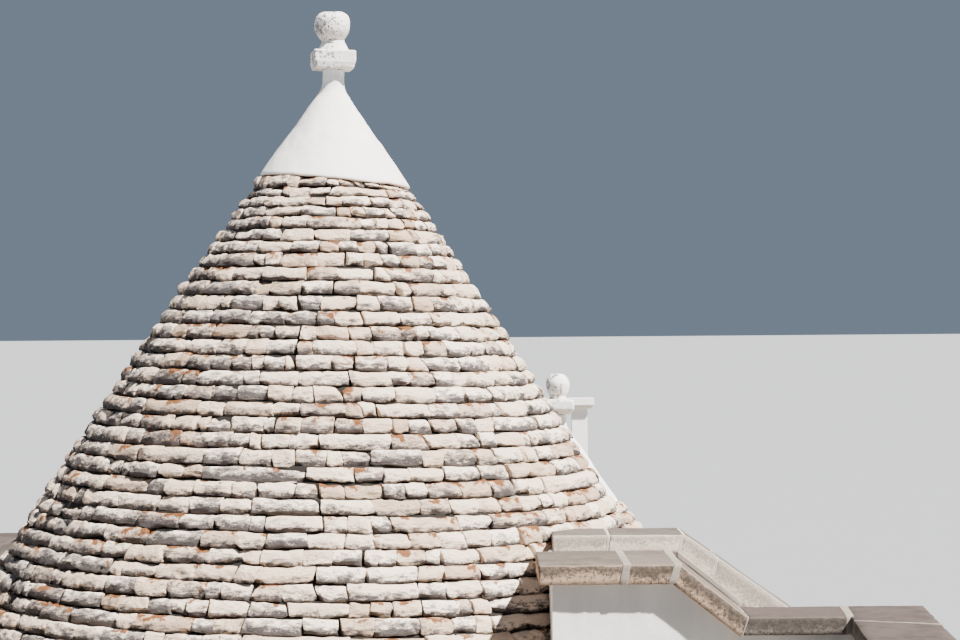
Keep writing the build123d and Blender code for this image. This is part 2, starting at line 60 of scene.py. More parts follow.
HASH_AXES = (73856093, 19349663, 83492791)
HASH_SEED = 668265263
HASH_FACTORS = (1103515245, 1274126177)
HASH_SHIFT = 12345
HASH_BITS = 0x7FFFFFFF
HASH_VALUES = 0xFFFF


class Slot(Enum):
    """Names for the material slots of the new pieces, which the pieces do not use."""

    ROOF = "roof_stone"
    CAP = "lime_cap"
    PINNACLE = "pinnacle_stone"
    COPING = "coping_stone"


# Smooth noise and meshes


def lattice_noise(points: Array, cell: float, seed: int) -> Array:
    """Smooth noise between -1 and 1.

    Each corner of a cubic lattice holds a random value from an integer hash of its
    place, of which 16 bits are used. Inside a cube the eight values are blended by
    3t^2 - 2t^3 along each axis.

    Args:
        points: places, shape (..., 3), in metres.
        cell: edge of a lattice cube in metres.
        seed: number that picks the pattern.

    Returns:
        One value for each place, shape (...).
    """
    scaled = points / cell
    base = np.floor(scaled).astype(np.int64)
    part = scaled - base
    part = part * part * (3 - 2 * part)
    total = np.zeros(points.shape[:-1])
    for corner in range(8):
        offset = np.array([corner & 1, corner >> 1 & 1, corner >> 2])
        place = base + offset
        code = place * np.array(HASH_AXES)
        code = (code[..., 0] ^ code[..., 1] ^ code[..., 2] ^ seed * HASH_SEED) & HASH_BITS
        code = (code * HASH_FACTORS[0] + HASH_SHIFT) & HASH_BITS
        code = (code ^ code >> 13) * HASH_FACTORS[1] & HASH_BITS
        weight = np.prod(np.where(offset == 1, part, 1 - part), axis=-1)
        total += weight * (2 * (code >> 7 & HASH_VALUES) / HASH_VALUES - 1)
    return total


def rough_shift(points: Array, cell: float, amount: float, seed: int) -> Array:
    """Random smooth shift of each place: three noises, one along each axis.

    Args:
        points: places, shape (..., 3).
        cell: size of the lumps in metres.
        amount: largest shift in metres.
        seed: number that picks the pattern.

    Returns:
        The shifts, shape (..., 3).
    """
    return amount * np.stack([lattice_noise(points, cell, seed + axis) for axis in range(3)], axis=-1)


def mesh_piece(
    name: str, points: Array, quads: Array, marks: dict[str, Array] | None = None, sharp: float = 60.0
) -> bpy.types.Object:
    """Make a smooth-shaded mesh object at the origin from whole arrays.

    Args:
        name: the piece's name.
        points: vertices, shape (n, 3), in metres.
        quads: corners of the faces, shape (m, 4), anticlockwise seen from outside.
        marks: values kept on the vertices, each of shape (n, 3), by attribute name.
        sharp: angle in degrees above which an edge is drawn sharp.

    Returns:
        The new object, linked to the scene.
    """
    mesh = bpy.data.meshes.new(name)
    mesh.vertices.add(len(points))
    mesh.vertices.foreach_set("co", np.asarray(points, dtype=np.float32).ravel())
    mesh.loops.add(quads.size)
    mesh.loops.foreach_set("vertex_index", quads.astype(np.int32).ravel())
    mesh.polygons.add(len(quads))
    mesh.polygons.foreach_set("loop_start", np.arange(0, quads.size, 4, dtype=np.int32))
    mesh.polygons.foreach_set("loop_total", np.full(len(quads), 4, dtype=np.int32))
    mesh.polygons.foreach_set("use_smooth", np.ones(len(quads), dtype=bool))
    mesh.update(calc_edges=True)
    mesh.set_sharp_from_angle(angle=math.radians(sharp))
    for mark, values in (marks or {}).items():
        layer = mesh.attributes.new(mark, "FLOAT_COLOR", "POINT")
        rgba = np.concatenate([values, np.ones((len(values), 1))], axis=1)
        layer.data.foreach_set("color", rgba.astype(np.float32).ravel())
    piece = bpy.data.objects.new(name, mesh)
    bpy.context.scene.collection.objects.link(piece)
    return piece


def grid_quads(rows: int, columns: int, wrap: bool) -> Array:
    """Faces of a grid of vertices stored row by row, each looking along (next row) x (next column).

    Args:
        rows: number of vertex rows.
        columns: number of vertices in a row.
        wrap: whether each row closes on itself.

    Returns:
        Vertex numbers of the faces, shape (m, 4).
    """
    steps = np.arange(columns if wrap else columns - 1)
    row, column = np.meshgrid(np.arange(rows - 1), steps, indexing="ij")
    after = (column + 1) % columns
    first = row * columns
    corners = [first + column, first + columns + column, first + columns + after, first + after]
    return np.stack(corners, axis=-1).reshape(-1, 4)


def tube_quads(rows: int, columns: int, flip: bool = False) -> Array:
    """Faces of rings of vertices that follow each other, with a strip of faces as a lid on both ends.

    Args:
        rows: number of rings.
        columns: number of vertices in a ring, an even number.
        flip: turn the faces round.

    Returns:
        Vertex numbers of the faces, shape (m, 4).
    """
    step = np.arange(columns // 2 - 1)
    lid = np.stack([step, step + 1, columns - 2 - step, columns - 1 - step], axis=-1)
    far_lid = lid[:, ::-1] + (rows - 1) * columns
    quads = np.concatenate([grid_quads(rows, columns, True), lid, far_lid])
    return quads[:, ::-1] if flip else quads


def many_quads(template: Array, copies: int, vertices: int) -> Array:
    """Faces of many like bodies that follow each other in the vertex list."""
    return (template[None] + (np.arange(copies) * vertices)[:, None, None]).reshape(-1, 4)


def leaned(points: Array, seat: Place, lean: float) -> Array:
    """Turn points about the Y axis, +Z towards +X by lean degrees, and move them to a seat."""
    turn = math.radians(lean)
    x = points[..., 0] * math.cos(turn) + points[..., 2] * math.sin(turn)
    z = points[..., 2] * math.cos(turn) - points[..., 0] * math.sin(turn)
    return np.stack([x, points[..., 1], z], axis=-1) + np.array(seat)


# Roof stones


@dataclass
class CourseStones:
    """Stones of ring courses, each between two joints, in the cone's own frame.

    Attributes:
        angle: angle of the joints at both ends, shape (n, 2).
        slant: sideways lean of the joints up the course in metres, shape (n, 2).
        radius: radius of the lip at both ends, shape (n, 2).
        bed: height of the lower edge at both ends, shape (n, 2).
        head: height of the upper edge at both ends, shape (n, 2).
        batter: how far the face leans back, shape (n,).
        edge: rounding of the lip, shape (n,).
        corner: rounding of the two ends, shape (n, 2).
    """

    angle: Array
    slant: Array
    radius: Array
    bed: Array
    head: Array
    batter: Array
    edge: Array
    corner: Array

    def __len__(self) -> int:
        """Number of stones."""
        return len(self.angle)

    def pick(self, chosen: Array) -> "CourseStones":
        """Only the stones that a mask names."""
        return CourseStones(*(getattr(self, name)[chosen] for name in self.__dataclass_fields__))


@dataclass(frozen=True)
class StoneSection:
    """Closed section of a roof stone, from the back of its bed over the face to the back of its head.

    A point lies inwards by back * depth + lean * batter + round * edge, and up by
    share * height + lift * edge. Towards a rounded end the lower and the upper edge
    close by pinch * the distance that the end is drawn in.
    """

    back: tuple[float, ...] = (1, 0, 0, 0, 0, 0, 0, 0, 0, 0, 1, 1)
    lean: tuple[float, ...] = (0, 0, 0, 0, 0.04, 0.16, 0.40, 0.70, 0.96, 1.10, 0, 0)
    round: tuple[float, ...] = (0, 1.8, 0.30, 0, 0, 0, 0, 0, 0.1, 1.2, 0, 0)
    share: tuple[float, ...] = (0, 0, 0, 0, 0.34, 0.52, 0.70, 0.86, 0.97, 1, 1, 0.5)
    lift: tuple[float, ...] = (0, 0, 0.25, 0.95, 0, 0, 0, 0, 0, 0, 0, 0)
    pinch: float = 0.35

    def __len__(self) -> int:
        """Number of points."""
        return len(self.back)


@dataclass(frozen=True)
class StoneSpread:
    """How the stones of a cone differ, in metres where no share is named.

    Attributes:
        length_form: shape of the gamma draw that gives the lengths.
        length_least: shortest length, as a share of the same draw.
        joint_lean: usual sideways lean of a joint.
        setting: usual distance by which a stone is set in or out, or turned.
        gap: least and widest half of an upright joint.
        bed: usual rise or fall of an end's lower edge.
        head: least and widest joint over a stone.
        thin_share: share of the stones that are too thin for their course.
        thin: the least and the most that these lack.
        batter: least and greatest batter, as shares of the usual one.
        batter_error: usual error of the batter.
        edge: least and greatest rounding of the lip, as shares of the rise.
        corner: least and greatest rounding of an end.
    """

    length_form: float = 3.0
    length_least: float = 1.3
    joint_lean: float = 0.013
    setting: float = 0.008
    gap: Span = (0.0003, 0.0022)
    bed: float = 0.0035
    head: Span = (0.000, 0.009)
    thin_share: float = 0.05
    thin: Span = (0.003, 0.008)
    batter: Span = (0.74, 1.14)
    batter_error: float = 0.004
    edge: Span = (0.06, 0.15)
    corner: Span = (0.003, 0.013)


@dataclass(frozen=True)
class StoneRoughness:
    """Chips and noise that make a smooth stone a rough one.

    Attributes:
        chips: planes that chip each stone: most sideways, lowest and highest part of the
            direction beside an outward part of 0.4 to 1, and the deepest cut in metres.
        broad: size and height of the broad lumps.
        small: size and height of the small lumps.
        ridges: size and height of the ridges, which run where a noise passes through 0.
        layers: how much flatter than wide the small lumps and the ridges are.
        bites: size and depth of the bites out of the lower edge.
        bite_rise: how much the bites are squeezed upwards.
        bite_start: value of the noise from which a bite deepens.
        calm: how much less rough a stone is at its back.
    """

    chips: tuple[tuple[float, float, float, float], ...] = (
        (0.9, -0.9, -0.1, 0.020),
        (0.9, -0.9, -0.1, 0.020),
        (0.5, -1.3, -0.5, 0.016),
        (0.9, 0.2, 1.2, 0.022),
        (0.5, 0.3, 1.0, 0.014),
        (1.6, -0.4, 0.4, 0.024),
    )
    broad: Span = (0.11, 0.008)
    small: Span = (0.042, 0.0052)
    ridges: Span = (0.085, 0.0085)
    layers: float = 2.2
    bites: Span = (0.055, 0.014)
    bite_rise: float = 0.3
    bite_start: float = 0.1
    calm: float = 0.7


@dataclass(kw_only=True)
class StoneCone:
    """Ring courses of rough flat stones laid dry on one cone.

    Attributes:
        name: prefix of the pieces.
        seat: x, y and z of the axis at the foot.
        height: height of all courses.
        foot_radius: radius of the lips at the foot.
        top_radius: radius that the slope reaches at the top.
        rise_full: rise of the thick courses.
        rise_top: rise of the last course.
        rise_growth: how much each course is thicker than the one over it.
        lean: angle by which the axis leans towards +X, in degrees.
        belly: how far the slope bulges half way up.
        batter: how far a face leans back, as a share of its rise.
        bed_wave: height of the slow waves of a bed round the cone.
        stone_length: usual length of a stone at the foot.
        stone_length_top: usual length at the top.
        depth: length of a stone into the wall.
        fewest: least number of stones in a course.
        parts: number of pieces that the courses are divided into round the axis.
        along: vertices along the flat stretch of a stone.
        crest_tilt: how much higher the last course ends at -X than on average.
        sharp: angle in degrees above which an edge is drawn sharp.
        seed: start of the random draws.
        section: section of a stone.
        spread: how the stones differ.
        roughness: chips and noise of the stones.
    """

    name: str
    seat: Place
    height: float
    foot_radius: float
    top_radius: float
    rise_full: float
    rise_top: float
    rise_growth: float = 0.0
    lean: float = 0.0
    belly: float = 0.0
    batter: float = 0.54
    bed_wave: float = 0.010
    stone_length: float = 0.27
    stone_length_top: float = 0.17
    depth: float = 0.16
    fewest: int = 9
    parts: int = 6
    along: int = 11
    crest_tilt: float = 0.0
    sharp: float = 24.0
    seed: int = 11
    section: StoneSection = StoneSection()
    spread: StoneSpread = StoneSpread()
    roughness: StoneRoughness = StoneRoughness()

    def beds(self) -> Array:
        """Heights of the beds over the foot, up to the top of the last course."""
        rises: list[float] = []
        while sum(rises) < self.height - self.rise_full / 2:
            rises.append(min(self.rise_full, self.rise_top + self.rise_growth * len(rises)))
        levels = np.concatenate([[0.0], np.cumsum(rises[::-1])])
        return levels * self.height / levels[-1]

    def slope_radius(self, level: Array) -> Array:
        """Radius of the lips at a height: a straight slope with a belly of 4 s (1 - s) at the share s."""
        share = level / self.height
        straight = self.foot_radius + (self.top_radius - self.foot_radius) * share
        return straight + self.belly * 4 * share * (1 - share)

    def wave(self, angle: Array, course: Array) -> Array:
        """Slow rise and fall of the k-th bed at an angle a: a noise at (4 cos a, 4 sin a, 1.7 k)."""
        places = np.stack([np.cos(angle) * 4, np.sin(angle) * 4, course * 1.7 + 0 * angle], axis=-1)
        return self.bed_wave * lattice_noise(places, 1.0, self.seed)

    def stones(self, random: np.random.Generator) -> CourseStones:
        """Lay all the stones.

        Each course is cut into stones of random length that together close the ring.
        A stone shares its joints with its neighbours and its beds with the courses
        under and over it, and is set a little in or out and turned a little.

        Args:
            random: source of the draws.

        Returns:
            The stones of all courses.
        """
        spread = self.spread
        beds = self.beds()
        courses = len(beds) - 1
        ends: list[Array] = []
        slants: list[Array] = []
        numbers: list[Array] = []
        for number in range(courses):
            share = number / courses
            usual = self.stone_length * (1 - share) + self.stone_length_top * share
            count = max(self.fewest, round(2 * math.pi * float(self.slope_radius(beds[number])) / usual))
            widths = random.gamma(spread.length_form, 1.0, count) + spread.length_least
            joints = np.concatenate([[0.0], np.cumsum(widths)]) / widths.sum() * 2 * math.pi
            joints += random.random() * 2 * math.pi
            slant = random.normal(0, spread.joint_lean, count)
            ends.append(np.stack([joints[:-1], joints[1:]], axis=-1))
            slants.append(np.stack([slant, np.roll(slant, -1)], axis=-1))
            numbers.append(np.full(count, number))
        angle, slant, course = np.concatenate(ends), np.concatenate(slants), np.concatenate(numbers)
        count = len(course)
        pair = (count, 2)
        rise = np.diff(beds)[course]
        radius = self.slope_radius(beds[course]) + random.normal(0, spread.setting, count)
        turned = random.normal(0, spread.setting, count)
        radius = np.stack([radius + turned, radius - turned], axis=-1)
        gap = random.uniform(*spread.gap, pair) / radius
        angle = angle + gap * np.array([1, -1])
        both = course[:, None]
        bed = beds[both] + self.wave(angle, both) + random.normal(0, spread.bed, pair)
        head = beds[both + 1] + self.wave(angle, both + 1) - random.uniform(*spread.head, pair)
        thin = (random.random(count) < spread.thin_share) * random.uniform(*spread.thin, count)
        head = head - thin[:, None] - (both == courses - 1) * self.crest_tilt * np.cos(angle)
        lean = self.batter * rise * random.uniform(*spread.batter, count)
        lean = lean + random.normal(0, spread.batter_error, count)
        edge = rise * random.uniform(*spread.edge, count)
        corner = random.uniform(*spread.corner, pair)
        return CourseStones(angle, slant, radius, bed, head, lean, edge, corner)

    def blocks(self, stones: CourseStones, length: Array) -> tuple[Array, Array]:
        """Smooth stones in their own frames: x along the chord, y outwards and z up.

        The section is carried along the chord and bent to the ring by
        L^2 / (2 R) u (1 - u). Near both ends it is drawn inwards by
        c (1 - sqrt(1 - (1 - e)^2)), a quarter round of radius c, at the shares e of 0,
        0.16 and 0.5. The radius is at most 0.3 of the chord.

        Args:
            stones: the stones.
            length: length of each chord, shape (n, 1).

        Returns:
            Vertices over the bed, shape (n, rows, columns, 3), and the height of the bed
            at each row, shape (n, rows).
        """
        near = np.array([0.0, 0.16, 0.5])
        fall = 1 - np.sqrt(1 - (1 - near) ** 2)
        corner = np.minimum(stones.corner, 0.3 * length)
        first, last = corner[:, :1], corner[:, 1:]
        flat = first + (length - first - last) * np.linspace(0, 1, self.along)
        x = np.concatenate([first * near, flat, length - last * near[::-1]], axis=1)
        drawn = np.concatenate([first * fall, 0 * flat, last * fall[::-1]], axis=1)[..., None]
        u = x / length
        bed, head, slant = (
            ends[:, :1] * (1 - u) + ends[:, 1:] * u for ends in (stones.bed, stones.head, stones.slant)
        )

        part = self.section
        back, lean, curve = np.array(part.back), np.array(part.lean), np.array(part.round)
        share, lift = np.array(part.share), np.array(part.lift)
        pinch = part.pinch * (share < 0.3) - part.pinch * (share > 0.8)
        batter, edge = stones.batter[:, None, None], stones.edge[:, None, None]
        inward = back * self.depth + lean * batter + curve * edge + (1 - back) * drawn
        height = (head - bed)[..., None]
        up = share * height + lift * edge + drawn * pinch
        half_turn = np.tan((stones.angle[:, 1] - stones.angle[:, 0]) / 2)
        sideways = x[..., None] + inward * half_turn[:, None, None] * (1 - 2 * u[..., None])
        sideways = sideways + up / height * slant[..., None]
        bent = length**2 / (2 * stones.radius.mean(axis=1)[:, None]) * u * (1 - u)
        return np.stack([sideways, bent[..., None] - inward, up + 0 * sideways], axis=-1), bed

    def chipped(self, local: Array, random: np.random.Generator) -> Array:
        """Chip stones by random planes: a point beyond a plane is moved back onto it.

        Args:
            local: vertices in the stones' own frames, shape (n, v, 3).
            random: source of the draws.

        Returns:
            The moved vertices.
        """
        count = len(local)
        for sideways, lowest, highest, cut in self.roughness.chips:
            way = np.stack(
                [
                    random.uniform(-sideways, sideways, count),
                    random.uniform(0.4, 1, count),
                    random.uniform(lowest, highest, count),
                ],
                axis=-1,
            )
            way /= np.linalg.norm(way, axis=1, keepdims=True)
            reach = np.einsum("nvc,nc->nv", local, way)
            limit = reach.max(axis=1) - cut * random.uniform(0, 1, count) ** 1.5
            beyond = np.maximum(0, reach - limit[:, None])
            local = local - beyond[..., None] * way[:, None, :]
        return local

    def roughened(self, local: Array, random: np.random.Generator) -> Array:
        """Roughen stones by lumps of two sizes and ridges 1 - 2 |noise|, and bite their lower edge.

        Args:
            local: vertices in the stones' own frames, shape (n, v, 3).
            random: source of each stone's place in the noise.

        Returns:
            The moved vertices.
        """
        rough = self.roughness
        back, share = np.array(self.section.back), np.array(self.section.share)
        rows = local.shape[1] // len(self.section)
        own = local + random.uniform(-40, 40, (len(local), 1, 3))
        layered = own * np.array([1, 1, rough.layers])
        shift = rough_shift(own, *rough.broad, self.seed) + rough_shift(layered, *rough.small, self.seed + 9)
        size, height = rough.ridges
        shift[..., 1] += height * (1 - 2 * np.abs(lattice_noise(layered, size, self.seed + 20)))
        local = local + shift * np.tile(1 - rough.calm * back, rows)[None, :, None]
        size, depth = rough.bites
        bites = lattice_noise(own * np.array([1, 1, rough.bite_rise]), size, self.seed + 30)
        bites = np.maximum(0, bites - rough.bite_start)
        local[..., 2] += depth * bites * np.tile((share < 0.1) * (1 - back), rows)
        return local

    def surface(self, stones: CourseStones, random: np.random.Generator) -> tuple[Array, Array, Array]:
        """Surface of rough stones, set at their chords.

        Args:
            stones: the stones.
            random: source of the draws.

        Returns:
            Vertices (n, v, 3) in the cone's frame, faces (m, 4), and the share of the
            height of each vertex (n, v).
        """
        cosine, sine = np.cos(stones.angle), np.sin(stones.angle)
        ends = np.stack([stones.radius * cosine, stones.radius * sine], axis=-1)
        chord = ends[:, 1] - ends[:, 0]
        length = np.linalg.norm(chord, axis=1)[:, None]
        blocks, bed = self.blocks(stones, length)
        count, rows, columns = blocks.shape[:3]
        local = self.chipped(blocks.reshape(count, rows * columns, 3), random)
        local = self.roughened(local, random)

        level = np.zeros((count, 1))
        along = chord / length
        outward = np.stack([along[:, 1], -along[:, 0]], axis=-1)
        points = (
            np.concatenate([ends[:, 0], level], axis=1)[:, None, :]
            + local[..., :1] * np.concatenate([along, level], axis=1)[:, None, :]
            + local[..., 1:2] * np.concatenate([outward, level], axis=1)[:, None, :]
        )
        points[..., 2] += local[..., 2] + np.repeat(bed, columns, axis=1)
        quads = many_quads(tube_quads(rows, columns), count, rows * columns)
        return points, quads, np.broadcast_to(np.tile(self.section.share, rows), (count, rows * columns))

    def build(self, finish: Material) -> None:
        """Make the stones as one piece for each part of the ring."""
        random = np.random.default_rng(self.seed)
        stones = self.stones(random)
        middle = stones.angle.mean(axis=1) % (2 * math.pi)
        part = (middle * self.parts / (2 * math.pi)).astype(int)
        for number in range(self.parts):
            chosen = stones.pick(part == number)
            points, quads, level = self.surface(chosen, random)
            tone = random.random((len(chosen), 1)) + 0 * level
            warmth = random.random((len(chosen), 1)) + 0 * level
            marks = {"stone": np.stack([tone, warmth, level], axis=-1).reshape(-1, 3)}
            points = leaned(points, self.seat, self.lean).reshape(-1, 3)
            piece = mesh_piece(f"{self.name}_{number + 1}", points, quads, marks, self.sharp)
            dress(piece, finish)
            LOG.info("%s: %d stones, %d faces", piece.name, len(chosen), len(quads))


# Slabs


@dataclass(frozen=True)
class SlabGrid:
    """Slabs with round arrises between eight corners each, mitred or not.

    Attributes:
        along: rows of vertices along the flat part of the length.
        face: vertices up the flat part of each upright side.
        top: vertices across the flat part of the upper face.
        radius: radius of the arrises.
        lump: size of the waves of the faces.
        wave: height of the waves.
        bite: depth of the chips along the arrises.
        bite_size: size of the chips.
        bite_start: value of the noise from which a chip deepens.
        seed: start of the noise.
    """

    along: int = 24
    face: int = 4
    top: int = 9
    radius: float = 0.008
    lump: float = 0.16
    wave: float = 0.0022
    bite: float = 0.012
    bite_size: float = 0.05
    bite_start: float = 0.15
    seed: int = 31

    def section(self) -> tuple[Array, Array]:
        """Closed section, as shares of the flat sides and offsets in arris radii.

        It runs up the outer face, inwards over the top, down the back and out again
        along the bottom. Each arris has two points, 22.5 degrees from either side.

        Returns:
            Shares and offsets of depth and height, each of shape (k, 2), with k even.
        """
        turn = math.radians(22.5)
        near, far = math.sin(turn), math.cos(turn)
        runs = (
            ((0, 0), (0, 1), (-1, 0), self.face, ((-far, near), (-near, far))),
            ((0, 1), (1, 1), (0, 1), self.top, ((near, far), (far, near))),
            ((1, 1), (1, 0), (1, 0), self.face, ((far, -near), (near, -far))),
            ((1, 0), (0, 0), (0, -1), self.top, ((-near, -far), (-far, -near))),
        )
        shares: list[Array] = []
        offsets: list[Array] = []
        for first, last, out, count, corner in runs:
            steps = np.linspace(0, 1, count + 2)[1:-1, None]
            side = np.array(first) * (1 - steps) + np.array(last) * steps
            shares += [side, np.tile(np.array(last), (2, 1))]
            offsets += [np.tile(np.array(out), (count, 1)), np.array(corner)]
        return np.concatenate(shares).astype(float), np.concatenate(offsets).astype(float)

    def surface(self, corners: Array) -> tuple[Array, Array, Array]:
        """Vertices and faces of slabs.

        A vertex is the trilinear mean of the eight corners at shares u, d and h. They
        keep one arris radius from the sides, and the round section adds the radius
        back, less at the ends, so that every edge is round. The radius is at most 0.35
        of a slab's shortest side. Waves shift the faces, and noise bites the arrises
        towards the middle of the slab.

        Args:
            corners: by end, depth and height, shape (n, 2, 2, 2, 3).

        Returns:
            Vertices (n, v, 3), faces (m, 4), and each vertex's shares (n, v, 3).
        """
        share, offset = self.section()
        turns = np.radians([20.0, 60.0])
        flat = np.linspace(0, 1, self.along)
        along = np.concatenate([[0, 0], flat, [1, 1]])
        ahead = np.concatenate([-np.cos(turns), 0 * flat, np.cos(turns[::-1])])
        swell = np.concatenate([np.sin(turns), 1 + 0 * flat, np.sin(turns[::-1])])
        rows, columns = len(along), len(share)
        spans = [np.diff(corners.mean(axis=others), axis=1)[:, 0] for others in ((2, 3), (1, 3), (1, 2))]
        length, depth, height = (np.linalg.norm(span, axis=1)[:, None, None] for span in spans)
        r = np.minimum(self.radius, np.minimum(np.minimum(depth, height), length) * 0.35)
        u = (r + along[None, :, None] * (length - 2 * r) + ahead[None, :, None] * r) / length
        spread = swell[None, :, None] * r
        d = (r + share[:, 0] * (depth - 2 * r) + offset[:, 0] * spread) / depth
        h = (r + share[:, 1] * (height - 2 * r) + offset[:, 1] * spread) / height
        u = np.broadcast_to(u, d.shape)
        places = np.stack([u, d, h], axis=-1).reshape(len(corners), rows * columns, 3)
        points = trilinear(corners, places)
        centre = corners.mean(axis=(1, 2, 3))[:, None, :]
        arris = np.tile((np.abs(offset).min(axis=1) > 0) * 1.0, rows)[None, :, None]
        arris = np.maximum(arris, np.repeat((ahead != 0) * 1.0, columns)[None, :, None])
        bite = np.maximum(0, lattice_noise(points, self.bite_size, self.seed) - self.bite_start)
        inwards = (centre - points) / np.linalg.norm(centre - points, axis=-1, keepdims=True)
        points = points + inwards * (bite[..., None] * arris) * self.bite
        points = points + rough_shift(points, self.lump, self.wave, self.seed)
        points = points + rough_shift(points, self.lump * 0.3, self.wave * 0.5, self.seed + 5)
        return points, many_quads(tube_quads(rows, columns), len(corners), rows * columns), places

    def build(self, name: str, corners: Array, finish: Material) -> bpy.types.Object:
        """Make the slabs as one piece, with a tone and a warmth of its own for each.

        Args:
            name: the piece's name.
            corners: by end, depth and height, shape (n, 2, 2, 2, 3).
            finish: their material.

        Returns:
            The piece.
        """
        points, quads, places = self.surface(corners)
        random = np.random.default_rng(self.seed)
        own = np.broadcast_to(random.random((len(corners), 1, 2)), (*places.shape[:2], 2))
        marks = {"stone": np.concatenate([own, places[..., 2:]], axis=-1).reshape(-1, 3)}
        piece = mesh_piece(name, points.reshape(-1, 3), quads, marks)
        dress(piece, finish)
        LOG.info("%s: %d slabs, %d faces", name, len(corners), len(quads))
        return piece


def trilinear(corners: Array, places: Array) -> Array:
    """Points at shares of length, depth and height between eight corners.

    Args:
        corners: by end, depth and height, shape (n, 2, 2, 2, 3).
        places: shares, shape (n, v, 3).

    Returns:
        The points, shape (n, v, 3).
    """
    total = np.zeros(places.shape)
    for end in (0, 1):
        for depth in (0, 1):
            for height in (0, 1):
                weight = np.ones(places.shape[:2])
                for axis, side in enumerate((end, depth, height)):
                    weight = weight * (places[..., axis] if side else 1 - places[..., axis])
                total += weight[..., None] * corners[:, None, end, depth, height, :]
    return total


def plan_slab(outer: tuple[Array, Array], inner: tuple[Array, Array], low: float, high: float) -> Array:
    """Eight corners of a level slab.

    Args:
        outer: x and y of the outer face's two ends.
        inner: x and y of the back's two ends.
        low: height of the underside.
        high: height of the upper face.

    Returns:
        The corners by end, depth and height, shape (2, 2, 2, 3).
    """
    plan = np.array([[outer[0], inner[0]], [outer[1], inner[1]]], dtype=float)
    levels = np.broadcast_to(np.array([low, high])[:, None], (2, 2, 2, 1))
    return np.concatenate([np.repeat(plan[:, :, None, :], 2, axis=2), levels], axis=-1)


def side_slab(bottom: tuple[Array, Array], top: tuple[Array, Array], face: float, back: float) -> Array:
    """Eight corners of a slab that is drawn in elevation.

    Args:
        bottom: x and z of the underside's two ends.
        top: x and z of the upper face's two ends.
        face: y of the outer face.
        back: y of the back.

    Returns:
        The corners by end, depth and height, shape (2, 2, 2, 3).
    """
    drawn = np.array([[bottom[0], top[0]], [bottom[1], top[1]]], dtype=float)
    corners = np.empty((2, 2, 2, 3))
    corners[..., 0] = drawn[:, None, :, 0]
    corners[..., 2] = drawn[:, None, :, 1]
    corners[:, 0, :, 1] = face
    corners[:, 1, :, 1] = back
    return corners


def divided(corners: Array, cuts: list[float], joint: float) -> Array:
    """Cut one slab into several along its length, with a joint between them.

    Args:
        corners: eight corners, shape (2, 2, 2, 3).
        cuts: shares of the length at the middle of the joints.
        joint: width of a joint in metres.

    Returns:
        The corners of the parts, shape (n, 2, 2, 2, 3).
    """
    span = float(np.linalg.norm(np.diff(corners.mean(axis=(1, 2)), axis=0)))
    half = joint / 2 / span
    starts = np.array([0.0] + [cut + half for cut in cuts])[:, None, None, None]
    ends = np.array([cut - half for cut in cuts] + [1.0])[:, None, None, None]
    first = corners[None, 0] * (1 - starts) + corners[None, 1] * starts
    last = corners[None, 0] * (1 - ends) + corners[None, 1] * ends
    return np.stack([first, last], axis=1)


# Shader graph


class Term:
    """A value in a material's graph. Operators on it add Math nodes."""

    def __init__(self, graph: "Graph", socket: bpy.types.NodeSocket) -> None:
        """Keep the graph and the socket that gives the value."""
        self.graph = graph
        self.socket = socket

    def _math(self, operation: str, first: "Term | float", second: "Term | float") -> "Term":
        """Add one Math node."""
        return self.graph.node("ShaderNodeMath", {"operation": operation}, {0: first, 1: second})

    def __add__(self, other: "Term | float") -> "Term":
        """Sum."""
        return self._math("ADD", self, other)

    __radd__ = __add__

    def __sub__(self, other: "Term | float") -> "Term":
        """Difference."""
        return self._math("SUBTRACT", self, other)

    def __rsub__(self, other: float) -> "Term":
        """Difference from a number."""
        return self._math("SUBTRACT", other, self)

    def __mul__(self, other: "Term | float") -> "Term":
        """Product."""
        return self._math("MULTIPLY", self, other)

    __rmul__ = __mul__

    def power(self, exponent: float) -> "Term":
        """The value raised to an exponent."""
        return self._math("POWER", self, exponent)

    def between(self, low: float, high: float) -> "Term":
        """0 below low, 1 above high, and smooth from one to the other."""
        settings = {"interpolation_type": "SMOOTHSTEP"}
        inputs = {"Value": self, "From Min": low, "From Max": high}
        return self.graph.node("ShaderNodeMapRange", settings, inputs)


